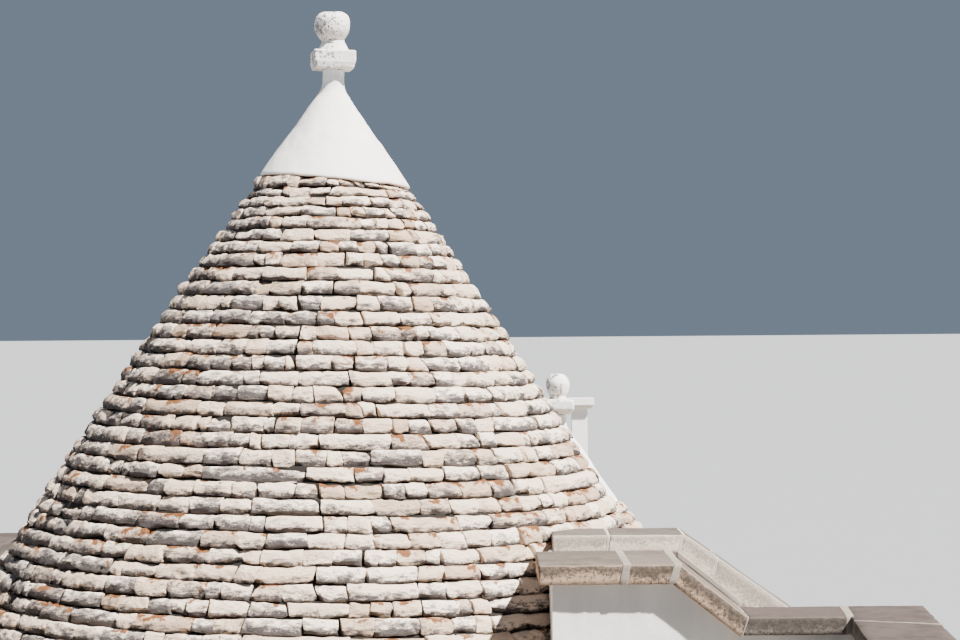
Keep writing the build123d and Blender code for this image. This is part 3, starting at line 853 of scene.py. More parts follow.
class Graph:
    """The node tree of one material."""

    def __init__(self, name: str) -> None:
        """Start a material with an empty tree and its output."""
        self.material = bpy.data.materials.new(name)
        self.material.use_nodes = True
        self.tree = self.material.node_tree
        self.tree.nodes.clear()
        self.coordinates = self.node("ShaderNodeTexCoord", {}, {}, "Object")

    def node(
        self, kind: str, settings: dict[str, object], inputs: dict[str | int, object], output: str | int = 0
    ) -> Term:
        """Add a node.

        Args:
            kind: the node's type.
            settings: properties that are set first.
            inputs: values or terms for its sockets, by name or number.
            output: the output that the term reads.

        Returns:
            The output as a term.
        """
        made = self.tree.nodes.new(kind)
        for key, value in settings.items():
            setattr(made, key, value)
        for key, value in inputs.items():
            if isinstance(value, Term):
                self.tree.links.new(value.socket, made.inputs[key])
            else:
                made.inputs[key].default_value = value
        return Term(self, made.outputs[output])

    def noise(self, size: NoiseSize, at: Term | None = None) -> Term:
        """Noise between 0 and 1.

        Args:
            size: lumps to a metre, levels of detail and how strong the finer levels are.
            at: places at which the noise is read, or the object coordinates.

        Returns:
            The noise.
        """
        inputs = {"Vector": at or self.coordinates, **dict(zip(("Scale", "Detail", "Roughness"), size))}
        return self.node("ShaderNodeTexNoise", {}, inputs, "Fac")

    def flags(self, length: float, width: float) -> Term:
        """1 in the 6 mm joints of flags laid level in broken rows, and 0 on the flags."""
        sizes = {"Scale": 1.0, "Mortar Size": 0.006, "Brick Width": length, "Row Height": width}
        return self.node("ShaderNodeTexBrick", {}, {"Vector": self.coordinates, **sizes}, "Fac")

    def stretched(self, x: float, y: float, z: float) -> Term:
        """Object coordinates multiplied along each axis."""
        return self.node("ShaderNodeMapping", {}, {"Vector": self.coordinates, "Scale": (x, y, z)})

    def axis(self, name: str, of: Term | None = None) -> Term:
        """One coordinate, X, Y or Z."""
        return self.node("ShaderNodeSeparateXYZ", {}, {"Vector": of or self.coordinates}, name)

    def mark(self, name: str) -> Term:
        """Colour attribute of the mesh."""
        return self.node("ShaderNodeAttribute", {"attribute_name": name}, {}, "Vector")

    def facing(self) -> Term:
        """How far a face looks upwards, from -1 to 1."""
        normal = self.node("ShaderNodeNewGeometry", {}, {}, "Normal")
        return self.axis("Z", normal)

    def blend(self, share: Term | float, low: Term | Colour, high: Term | Colour) -> Term:
        """Colour between low and high."""
        inputs = {0: share, 6: self.colour(low), 7: self.colour(high)}
        return self.node("ShaderNodeMix", {"data_type": "RGBA"}, inputs, 2)

    @staticmethod
    def colour(value: Term | Colour) -> Term | tuple[float, float, float, float]:
        """A term as it is, and a colour with an alpha of 1."""
        return value if isinstance(value, Term) else (*value, 1.0)

    def bump(self, height: Term, depth: float) -> Term:
        """Normal bent by a height, where 1 is depth metres."""
        return self.node("ShaderNodeBump", {}, {"Height": height, "Strength": 1.0, "Distance": depth})

    def finish(self, colour: Term, roughness: float, normal: Term) -> Material:
        """Close the graph with one surface shader."""
        inputs = {"Base Color": colour, "Roughness": roughness, "Normal": normal, "Specular IOR Level": 0.3}
        shader = self.node("ShaderNodeBsdfPrincipled", {}, inputs)
        output = self.tree.nodes.new("ShaderNodeOutputMaterial")
        self.tree.links.new(shader.socket, output.inputs["Surface"])
        return self.material


# Finishes


def multiplied(colour: Colour, factor: float) -> Colour:
    """A colour multiplied by a factor."""
    return tuple(factor * part for part in colour)


@dataclass(frozen=True)
class RoofStoneFinish:
    """Cream limestone, bright where rain washes it, charcoal along its lower edge, with ochre patches and
    painted shade in the joint under each stone.

    Attributes:
        white: washed stone.
        cream: usual stone.
        tan: the browner stones.
        grey: thin weathering.
        charcoal: thick weathering.
        ochre: rust patches.
        dark: pits, and painted shade along each stone's lower edge.
        layers: how much flatter than wide the patterns are.
        grain: noise of the pits.
        fine: noise of the washed spots.
        patch: noise of the weathering.
        broad: noise that runs over many stones.
        rusty: noise of the rust.
        washed: values over which cream turns white.
        browned: values over which stone turns brown.
        greyed: values over which thin weathering sets in.
        blackened: values over which thick weathering sets in.
        rusted: values over which rust sets in.
        roughness: roughness of the surface.
        relief: depth of the relief in metres.
    """

    white: Colour = (0.965, 0.81, 0.672)
    cream: Colour = (0.70, 0.53, 0.395)
    tan: Colour = (0.42, 0.28, 0.185)
    grey: Colour = (0.113, 0.099, 0.101)
    charcoal: Colour = (0.045, 0.038, 0.040)
    ochre: Colour = (0.170, 0.058, 0.013)
    dark: Colour = (0.05, 0.038, 0.03)
    layers: float = 2.4
    grain: NoiseSize = (70.0, 4.0, 0.65)
    fine: NoiseSize = (26.0, 6.0, 0.65)
    patch: NoiseSize = (12.0, 5.0, 0.6)
    broad: NoiseSize = (2.2, 3.0, 0.5)
    rusty: NoiseSize = (8.0, 5.0, 0.65)
    washed: Span = (0.28, 0.70)
    browned: Span = (0.94, 1.16)
    greyed: Span = (1.28, 1.43)
    blackened: Span = (1.53, 1.64)
    rusted: Span = (1.00, 1.055)
    roughness: float = 0.92
    relief: float = 0.022

    def build(self) -> Material:
        """Make the material."""
        graph = Graph("roof_stone")
        mark = graph.mark("stone")
        tone, warmth, height = graph.axis("X", mark), graph.axis("Y", mark), graph.axis("Z", mark)
        layered = graph.stretched(1.0, 1.0, self.layers)
        grain = graph.noise(self.grain, layered)
        fine = graph.noise(self.fine, layered)
        patch = graph.noise(self.patch, layered)
        broad = graph.noise(self.broad)
        side = (graph.axis("X") * -0.10).between(-0.2, 0.3)

        base = graph.blend((fine * 0.6 + tone * 0.45).between(*self.washed), self.cream, self.white)
        browner = (warmth * 0.8 + patch * 0.6 + broad * 0.3).between(*self.browned)
        base = graph.blend(browner * 0.65, base, self.tan)
        wash = patch * 1.1 + fine * 0.7 + grain * 0.5 + tone * 0.40 + broad * 0.25 + side * 0.20
        wash = wash - height * 0.42
        base = graph.blend(wash.between(*self.greyed) * 0.72, base, self.grey)
        base = graph.blend((wash + (1 - height) * 0.14).between(*self.blackened) * 0.86, base, self.charcoal)
        rust = (graph.noise(self.rusty) + warmth * 0.25 + height * 0.30).between(*self.rusted)
        base = graph.blend(rust * 0.95, base, self.ochre)
        colour = graph.blend(grain.between(0.36, 0.25) * 0.8, base, self.dark)
        # Painted shade: the lowest part of each stone turns dark, where shade falls in the joint below it.
        colour = graph.blend((1 - height).between(0.92, 1.0) * 0.6, colour, self.dark)
        relief = fine * 0.9 + patch * 0.9 + grain * 0.40
        return graph.finish(colour, self.roughness, graph.bump(relief, self.relief))


@dataclass(frozen=True)
class CoreFinish:
    """Nearly black painted shade outside, behind the roof stones where it shows through their gaps, and
    dressed stone on the dome inside.

    The two are told apart by a cone half way through the wall.

    Attributes:
        name: the material's name.
        seat: x, y and z of the axis at the foot.
        radius: radius of the cone half way through the wall, at the foot.
        slope: how much that radius shrinks for each metre of height.
        rise: height of the inner courses.
        lean: lean of the axis in degrees.
        fill: nearly black painted shade behind the roof stones.
        dressed: colour of the dome's stone.
        joint: colour of the dome's joints.
        border: half of the width over which the two sides meet.
        grain: noise of the painted shade.
        broad: noise of the dressed stone.
        roughness: roughness of the surface.
        relief: depth of the relief in metres.
    """

    name: str
    seat: Place
    radius: float
    slope: float
    rise: float
    lean: float = 0.0
    fill: Colour = (0.010, 0.008, 0.007)
    dressed: Colour = (0.66, 0.61, 0.54)
    joint: Colour = (0.30, 0.27, 0.24)
    border: float = 0.03
    grain: NoiseSize = (30.0, 5.0, 0.6)
    broad: NoiseSize = (6.0, 4.0, 0.6)
    roughness: float = 0.92
    relief: float = 0.006

    def build(self) -> Material:
        """Make the material."""
        graph = Graph(self.name)
        level = graph.axis("Z") - self.seat[2]
        x = graph.axis("X") - self.seat[0] - level * math.tan(math.radians(self.lean))
        y = graph.axis("Y") - self.seat[1]
        radius = (x * x + y * y).power(0.5)
        outside = (radius + level * self.slope).between(self.radius - self.border, self.radius + self.border)
        grain, broad = graph.noise(self.grain), graph.noise(self.broad)
        # Painted shade: the outer side is nearly black, so that the gaps between the roof stones read as
        # shadow.
        fill = graph.blend(grain, self.fill, multiplied(self.fill, 2.2))
        dressed = graph.blend(broad.between(0.3, 0.7), multiplied(self.dressed, 0.75), self.dressed)
        course = graph.node("ShaderNodeMath", {"operation": "PINGPONG"}, {0: level, 1: self.rise / 2})
        dressed = graph.blend((course * (2 / self.rise)).between(0.10, 0.02), dressed, self.joint)
        colour = graph.blend(outside, dressed, fill)
        return graph.finish(colour, self.roughness, graph.bump(grain * 0.5 + broad * 0.5, self.relief))


@dataclass(frozen=True)
class LimeFinish:
    """White lime: brushed coats, faint runs and a little grey dirt.

    Attributes:
        name: the material's name.
        white: clean lime.
        shade: thinner coats.
        dirt: specks of dirt.
        worn: colour of the marked pits and dented spots, and painted shade where a shallow spot marks a
            shaded side.
        under: painted shade, darker and browner, on faces that look down.
        paving: flags on level tops that lie below the paved height.
        flags: length and width of the flags.
        dirt_share: how much the specks cover.
        speck_scale: specks to a metre.
        broad: noise of the coats.
        runs: noise of the runs, which are drawn out downwards.
        fine: noise of the grain.
        brushed: noise of the brush marks.
        roughness: roughness of the surface.
        relief: depth of the brush marks in metres.
        paved_height: height up to which level tops are paved, or nothing.
    """

    name: str = "lime"
    white: Colour = (0.90, 0.89, 0.87)
    shade: Colour = (0.76, 0.75, 0.73)
    dirt: Colour = (0.42, 0.40, 0.37)
    worn: Colour = (0.15, 0.13, 0.12)
    under: Colour = (0.62, 0.53, 0.43)
    paving: Colour = (0.23, 0.215, 0.20)
    flags: Span = (0.62, 0.44)
    dirt_share: float = 0.12
    speck_scale: float = 24.0
    broad: NoiseSize = (1.6, 4.0, 0.5)
    runs: NoiseSize = (6.0, 5.0, 0.6)
    fine: NoiseSize = (55.0, 5.0, 0.6)
    brushed: NoiseSize = (9.0, 4.0, 0.5)
    roughness: float = 0.85
    relief: float = 0.004
    paved_height: float | None = None

    def build(self) -> Material:
        """Make the material."""
        graph = Graph(self.name)
        broad = graph.noise(self.broad)
        runs = graph.noise(self.runs, graph.stretched(1.0, 1.0, 0.16))
        base = graph.blend((broad * 0.5 + runs * 0.5).between(0.35, 0.7), self.shade, self.white)
        speck = graph.noise((self.speck_scale, 6.0, 0.7)).between(0.63, 0.75)
        colour = graph.blend(speck * self.dirt_share, base, self.dirt)
        facing = graph.facing()
        # Painted shade: faces that look down turn darker and browner.
        colour = graph.blend(facing.between(-0.15, -0.60) * 0.7, colour, self.under)
        # Dark where the mesh marks worn spots, and painted shade where shallow dented spots mark a shaded
        # side.
        colour = graph.blend(graph.axis("X", graph.mark("wear_and_shade")) * 0.85, colour, self.worn)
        if self.paved_height is not None:
            below = graph.axis("Z").between(self.paved_height + 0.02, self.paved_height)
            flag = graph.blend(broad.between(0.3, 0.7), multiplied(self.paving, 0.75), self.paving)
            flag = graph.blend(graph.flags(*self.flags), flag, multiplied(self.paving, 0.45))
            colour = graph.blend(facing.between(0.85, 0.95) * below, colour, flag)
        relief = graph.noise(self.brushed) + graph.noise(self.fine) * 0.25
        return graph.finish(colour, self.roughness, graph.bump(relief, self.relief))


@dataclass(frozen=True)
class CopingFinish:
    """Sawn limestone, grey on top and stained with lichen on its faces, mostly on their upper half.

    Attributes:
        name: the material's name.
        top: darker stone of the tops.
        top_pale: paler stone of the tops.
        face: usual stone of the faces.
        stain: brown stains of the faces.
        dark: lichen and pits.
        spotted: how much of a face the lichen covers.
        painted_shade_y: y beyond which the tops are darkened as painted shade next to the rear slabs, or
            nothing.
        arris: how much the painted highlight makes the arrises paler.
        broad: noise of the tops.
        blotch: noise of the stains.
        fine: noise of the pits.
        spots: noise of the lichen.
        roughness: roughness of the surface.
        relief: depth of the relief in metres.
    """

    name: str = "coping_stone"
    top: Colour = (0.081, 0.066, 0.056)
    top_pale: Colour = (0.142, 0.117, 0.097)
    face: Colour = (0.42, 0.295, 0.205)
    stain: Colour = (0.095, 0.073, 0.057)
    dark: Colour = (0.045, 0.036, 0.029)
    spotted: float = 0.75
    painted_shade_y: float | None = None
    arris: float = 0.5
    broad: NoiseSize = (3.2, 5.0, 0.6)
    blotch: NoiseSize = (9.0, 5.0, 0.65)
    fine: NoiseSize = (60.0, 6.0, 0.7)
    spots: NoiseSize = (50.0, 6.0, 0.72)
    roughness: float = 0.9
    relief: float = 0.004

    def build(self) -> Material:
        """Make the material."""
        graph = Graph(self.name)
        facing = graph.facing()
        mark = graph.mark("stone")
        tone, level = graph.axis("X", mark), graph.axis("Z", mark)
        broad, blotch = graph.noise(self.broad), graph.noise(self.blotch)
        fine, spots = graph.noise(self.fine), graph.noise(self.spots)
        pale = (broad * 0.5 + blotch * 0.5 + tone * 0.15).between(0.40, 0.68)
        top = graph.blend(pale, self.top, self.top_pale)
        # Painted shade: the tops turn darker beyond a given y, next to the rear slabs.
        if self.painted_shade_y is not None:
            shade_band = (graph.axis("Y") + blotch * 0.06).between(self.painted_shade_y - 0.03, self.painted_shade_y + 0.03)
            top = graph.blend(shade_band * 0.55, top, self.top)
        weather = blotch * 0.7 + spots * 0.5 + tone * 0.18 + level * 0.50
        face = graph.blend(weather.between(0.77, 1.03) * 0.9, self.face, self.stain)
        lichen = (spots + level * 0.10 + tone * 0.06).between(0.55, 0.66)
        face = graph.blend(lichen * self.spotted, face, self.dark)
        colour = graph.blend(facing.between(0.25, 0.75), face, top)
        # Painted highlight: a pale line along the arrises between the tops and the faces.
        arris_highlight = facing.between(0.28, 0.42) * facing.between(0.76, 0.64)
        colour = graph.blend(arris_highlight * self.arris, colour, self.face)
        colour = graph.blend(fine.between(0.56, 0.70) * 0.45, colour, self.dark)
        return graph.finish(colour, self.roughness, graph.bump(fine * 0.7 + spots * 0.5, self.relief))


@dataclass(frozen=True)
class PavingFinish:
    """Worn limestone flags.

    Attributes:
        light: clean stone.
        dark: worn stone and pits.
        flags: length and width of the flags.
        broad: noise of the wear.
        fine: noise of the pits.
        roughness: roughness of the surface.
        relief: depth of the pits in metres.
    """

    light: Colour = (0.62, 0.57, 0.50)
    dark: Colour = (0.36, 0.33, 0.29)
    flags: Span = (0.55, 0.40)
    broad: NoiseSize = (4.0, 5.0, 0.6)
    fine: NoiseSize = (50.0, 6.0, 0.65)
    roughness: float = 0.85
    relief: float = 0.003

    def build(self) -> Material:
        """Make the material."""
        graph = Graph("paving")
        tone = graph.axis("X", graph.mark("stone"))
        broad, fine = graph.noise(self.broad), graph.noise(self.fine)
        colour = graph.blend((broad * 0.6 + tone * 0.4).between(0.25, 0.75), self.dark, self.light)
        colour = graph.blend(fine.between(0.55, 0.72) * 0.5, colour, self.dark)
        colour = graph.blend(graph.flags(*self.flags), colour, multiplied(self.dark, 0.4))
        return graph.finish(colour, self.roughness, graph.bump(fine, self.relief))


@dataclass(frozen=True)
class StageFinish:
    """Plain pale floor with a faint slow change of tone.

    Attributes:
        pale: colour of the floor.
        faint: noise of the tone.
        roughness: roughness of the surface.
        relief: depth of the relief in metres.
    """

    pale: Colour = (0.255, 0.265, 0.285)
    faint: NoiseSize = (0.4, 2.0, 0.5)
    roughness: float = 0.9
    relief: float = 0.0001

    def build(self) -> Material:
        """Make the material."""
        graph = Graph("stage")
        faint = graph.noise(self.faint)
        colour = graph.blend(faint, self.pale, multiplied(self.pale, 0.98))
        return graph.finish(colour, self.roughness, graph.bump(faint, self.relief))


# Turned forms


def lowest(node: str) -> Array:
    """Lowest corner of a frame node."""
    return np.array(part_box(node)[0])


def highest(node: str) -> Array:
    """Highest corner of a frame node."""
    return np.array(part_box(node)[1])


@dataclass
class LatheForm:
    """A round or square form worked out from a profile, with a lumpy hand-made surface.

    Attributes:
        name: the piece's name.
        seat: x, y and z of the foot of the axis.
        profile: radius, height and squareness of the points from the foot up, shape (n, 3).
        lean: lean of the axis towards +X in degrees.
        around: vertices round the axis.
        lumps: size and height of the lumps, from broad to fine.
        stretch: factors along both sides of a square section.
        turn: angle of a square section in degrees.
        sag: how far the lower rim rises and falls.
        tilt: how much lower the rim hangs at +X than on average.
        flare: how much the radius grows for each metre that the rim hangs lower.
        pits: depth of the pits.
        pit_size: width of a pit.
        pit_side: angle of the side that is pitted most, in degrees.
        pit_start: value of the noise from which a pit deepens.
        pit_spread: how much lower that value is on the pitted side.
        dents_and_shade: angle in degrees, height, reach and depth of single dented spots, marked dark like
            the pits; very shallow ones serve as painted shade.
        seed: start of the noise.
    """

    name: str
    seat: Place
    profile: Array
    lean: float = 0.0
    around: int = 120
    lumps: tuple[Span, ...] = ((0.22, 0.006), (0.07, 0.003), (0.025, 0.0012))
    stretch: Span = (1.0, 1.0)
    turn: float = 0.0
    sag: float = 0.0
    tilt: float = 0.0
    flare: float = 0.0
    pits: float = 0.0
    pit_size: float = 0.026
    pit_side: float = 215.0
    pit_start: float = 0.42
    pit_spread: float = 0.22
    dents_and_shade: tuple[tuple[float, float, float, float], ...] = ()
    seed: int = 3

    def surface(self) -> tuple[Array, Array, Array]:
        """Vertices, faces and the mark of worn spots and painted shade of each vertex.

        A vertex is (r cos a, r sin a, z) for the profile's r and z. On a square section
        r is divided by the p-norm of (cos a, sin a), and p grows from 2 to 26 with the
        squareness. The lowest tenth of the profile rises and falls round the rim by a
        noise on a circle and half as much of a finer one. The lower half slides down its
        own slope by tilt * cos a, less towards the middle.

        Returns:
            Vertices (n, 3) in their place, faces (m, 4), and the wear (n,) from 0 to 1.
        """
        angle = np.arange(self.around) / self.around * 2 * math.pi
        cosine, sine = np.cos(angle), np.sin(angle)
        width, level, squareness = (self.profile[:, [column]] for column in range(3))
        power = 2 + 24 * squareness
        norm = (np.abs(cosine) ** power + np.abs(sine) ** power) ** (1 / power)
        share = (level - level.min()) / np.ptp(level)
        drop = self.tilt * cosine * np.clip(1 - 2 * share, 0, 1)
        radius = width / norm + self.flare * drop
        x = radius * cosine * self.stretch[0]
        y = radius * sine * self.stretch[1]
        ring = np.stack([cosine * 2.2, sine * 2.2, 0 * angle], axis=-1)
        uneven = lattice_noise(ring, 1.0, self.seed) + 0.5 * lattice_noise(3 * ring, 1.0, 8)
        z = level + np.clip(1 - 10 * share, 0, 1) * self.sag * uneven - drop
        turn = math.radians(self.turn)
        places = [x * math.cos(turn) - y * math.sin(turn), x * math.sin(turn) + y * math.cos(turn), z]
        points = np.stack(places, axis=-1)
        away = points * np.array([1, 1, 0])
        away = away / np.maximum(1e-6, np.linalg.norm(points[..., :2], axis=-1))[..., None]
        for number, (size, amount) in enumerate(self.lumps):
            points = points + rough_shift(points, size, amount, self.seed + 3 * number)
        points, wear_and_shade = self.worn(points, away, angle, radius)
        quads = tube_quads(len(self.profile), self.around, flip=True)
        return leaned(points, self.seat, self.lean).reshape(-1, 3), quads, wear_and_shade.reshape(-1)

    def worn(self, points: Array, away: Array, angle: Array, radius: Array) -> tuple[Array, Array]:
        """Press pits and dented spots into the form, and mark worn spots and painted shade.

        Pits are where a noise is over a limit, mostly on the pitted side. A dent is
        1 - (d / reach)^2 deep at a distance d from its middle.

        Args:
            points: vertices by row and column.
            away: direction away from the axis at each vertex.
            angle: angle of each column.
            radius: radius of each vertex.

        Returns:
            The moved vertices, and each vertex's mark of worn spots and painted shade.
        """
        side = np.clip(0.35 + np.cos(angle - math.radians(self.pit_side)), 0.1, 1)
        noise = lattice_noise(points, self.pit_size, self.seed + 40)
        wear_and_shade = np.clip((noise - self.pit_start + self.pit_spread * side) * 3, 0, 1) * side
        points = points - away * (wear_and_shade * self.pits)[..., None]
        level = self.profile[:, [1]]
        for turned, height, reach, depth in self.dents_and_shade:
            across = (np.mod(angle - math.radians(turned) + math.pi, 2 * math.pi) - math.pi) * radius
            dent = np.clip(1 - (across**2 + (level - height) ** 2) / reach**2, 0, 1)
            points = points - away * (dent * depth)[..., None]
            wear_and_shade = np.maximum(wear_and_shade, dent)
        return points, wear_and_shade if self.pits else 0 * wear_and_shade

    def build(self, finish: Material, slot: Slot, node: str) -> None:
        """Make the piece, and let it stand for a node of the frame.

        Args:
            finish: its material.
            slot: its material slot; not used.
            node: the node that it replaces.
        """
        points, quads, wear_and_shade = self.surface()
        piece = mesh_piece(self.name, points, quads, {"wear_and_shade": np.stack([wear_and_shade, wear_and_shade, wear_and_shade], axis=-1)})
        dress(piece, finish)
        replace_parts(piece, node)
        LOG.info("%s: %d faces", self.name, len(quads))


def smooth_profile(knots: list[Knot], step: float) -> Array:
    """Points about one step apart along the straight lines between knots.

    Args:
        knots: radius, height and squareness.
        step: wanted distance in metres.

    Returns:
        The points, shape (n, 3).
    """
    points = np.array(knots)
    rows = [points[:1]]
    for first, last in zip(points, points[1:]):
        count = max(1, round(float(np.linalg.norm((last - first)[:2])) / step))
        share = np.linspace(0, 1, count + 1)[1:, None]
        rows.append(first * (1 - share) + last * share)
    return np.concatenate(rows)


def cap_profile(edge: float, shoulder: float, slope: float, neck: float, neck_height: float) -> Array:
    """Profile of a lime cap: a thin rim, a straight slope up to a shoulder and a sweep into the neck.

    The sweep is r = neck + (shoulder - neck) (1 - t)^1.7 over its height.

    Args:
        edge: radius of the rim.
        shoulder: radius at the top of the slope.
        slope: height of the slope.
        neck: radius of the neck.
        neck_height: height of the sweep and the neck over the slope.

    Returns:
        Radius, height and squareness of the points from the foot up, shape (n, 3).
    """
    sweep, step = 0.08, 0.016
    knots = [(0.30, 0.006, 0), (edge - 0.03, 0.0, 0), (edge - 0.004, 0.002, 0)]
    knots += [(edge, 0.008, 0), (edge - 0.003, 0.02, 0)]
    for t in (0.0, 0.2, 0.4, 0.6, 0.8, 1.0):
        knots.append((neck + (shoulder - neck) * (1 - t) ** 1.7, slope + sweep * t, 0))
    return smooth_profile([*knots, (neck, slope + neck_height, 0)], step)


def ball_profile(foot: float, width: float, height: float, waist: float, ends: Span, powers: Span) -> Array:
    """Profile of a stone ball that is cut flat at its foot and top.

    From its waist each half is r = R (1 - (s t)^p)^(1/p) at a share t of the way to its
    end, where s gives the end the stated share of R.

    Args:
        foot: height of its foot.
        width: largest width.
        height: height of the ball.
        waist: share of the height at which it is widest.
        ends: radius of the foot and of the top, as shares of R.
        powers: p of the lower and the upper half.

    Returns:
        Radius, height and squareness of the points from the foot up, shape (n, 3).
    """
    share = np.linspace(0, 1, 30)
    halves: list[Array] = []
    for end, power, way in zip(ends, powers, (-waist, 1 - waist)):
        reach = (1 - end**power) ** (1 / power)
        radius = width / 2 * (1 - (reach * share) ** power) ** (1 / power)
        halves.append(np.stack([radius, foot + height * (waist + way * share), 0 * share], axis=-1))
    rows = np.concatenate([halves[0][::-1], halves[1][1:]])
    inner = rows[-1] * np.array([0.3, 1, 0]) + np.array([0, 0.004, 0])
    return np.concatenate([rows[:1] * np.array([0.4, 1, 0]), rows, inner[None]])


def dress(piece: bpy.types.Object, finish: Material) -> None:
    """Give a piece its finish and its body."""
    piece.data.materials.append(finish)
    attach(piece, "root")


def paint(nodes: list[str], finish: Material) -> None:
    """Give frame nodes a finish in all their material slots."""
    for name in nodes:
        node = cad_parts[name]
        if not node.material_slots:
            node.data.materials.append(finish)
        for slot in node.material_slots:
            slot.material = finish


# View and light


@dataclass(frozen=True)
class PhotoView:
    """Camera of the photograph: eye level with the upper roof, looking level along +Y.

    Attributes:
        place: the eye, in metres.
        focal_pixels: focal length in pixels of the picture.
        picture_width: width of the picture in pixels.
        sensor: sensor width in millimetres.
        rise: upward turn in degrees.
        roll: turn about the line of sight in degrees.
        reach: distance up to which the camera sees, in metres.
    """

    place: Place = (1.205, -17.3, 5.0)
    focal_pixels: float = 2250.0
    picture_width: float = 960.0
    sensor: float = 36.0
    rise: float = 0.135
    roll: float = 0.435
    reach: float = 2000.0

    def build(self) -> None:
        """Make the camera and set it as the scene's."""
        data = bpy.data.cameras.new("photo_view")
        data.sensor_width = self.sensor
        data.lens = self.focal_pixels / self.picture_width * self.sensor
        data.clip_end = self.reach
        camera = bpy.data.objects.new("photo_view", data)
        camera.location = self.place
        camera.rotation_euler = (math.radians(90 + self.rise), math.radians(self.roll), 0)
        bpy.context.scene.collection.objects.link(camera)
        bpy.context.scene.camera = camera


@dataclass(frozen=True)
class StudioLight:
    """One large soft key from the right and front, and an even fill.

    Attributes:
        key_turn: direction that the key comes from, in degrees from -Y towards +X.
        key_height: height of the key over the horizon in degrees.
        key_strength: strength of the key in watts per square metre.
        key_angle: apparent width of the key in degrees.
        key_colour: colour of the key.
        fill: colour of the fill.
        fill_strength: strength of the fill.
    """

    key_turn: float = 55.0
    key_height: float = 52.5
    key_strength: float = 20.8
    key_angle: float = 1.5
    key_colour: Colour = (1.0, 0.96, 0.90)
    fill: Colour = (0.61, 0.77, 1.0)
    fill_strength: float = 0.28

    def build(self) -> None:
        """Make the key lamp and the world's fill."""
        data = bpy.data.lights.new("key", "SUN")
        data.energy = self.key_strength
        data.angle = math.radians(self.key_angle)
        data.color = self.key_colour
        lamp = bpy.data.objects.new("key", data)
        lamp.rotation_euler = (math.radians(90 - self.key_height), 0, math.radians(self.key_turn))
        bpy.context.scene.collection.objects.link(lamp)
        world = bpy.data.worlds.new("studio")
        world.use_nodes = True
        background = world.node_tree.nodes["Background"]
        background.inputs["Color"].default_value = (*self.fill, 1)
        background.inputs["Strength"].default_value = self.fill_strength
        bpy.context.scene.world = world


def build_stage(reach: float = 900.0, steps: int = 24, drop: float = 0.002) -> None:
    """Make the pale floor under the house.

    Args:
        reach: distance from its middle to its sides.
        steps: number of faces along a side.
        drop: how far it lies below the house.
    """
    grid = np.linspace(-reach, reach, steps + 1)
    x, y = np.meshgrid(grid, grid, indexing="xy")
    points = np.stack([x, y, 0 * x - drop], axis=-1).reshape(-1, 3)
    floor = mesh_piece("stage_floor", points, grid_quads(steps + 1, steps + 1, False))
    floor.data.materials.append(StageFinish().build())


# Coping

CORNER = (3.635, 4.175)
LOW_DEPTH = 0.54
MORTAR_PROUD = 0.0025


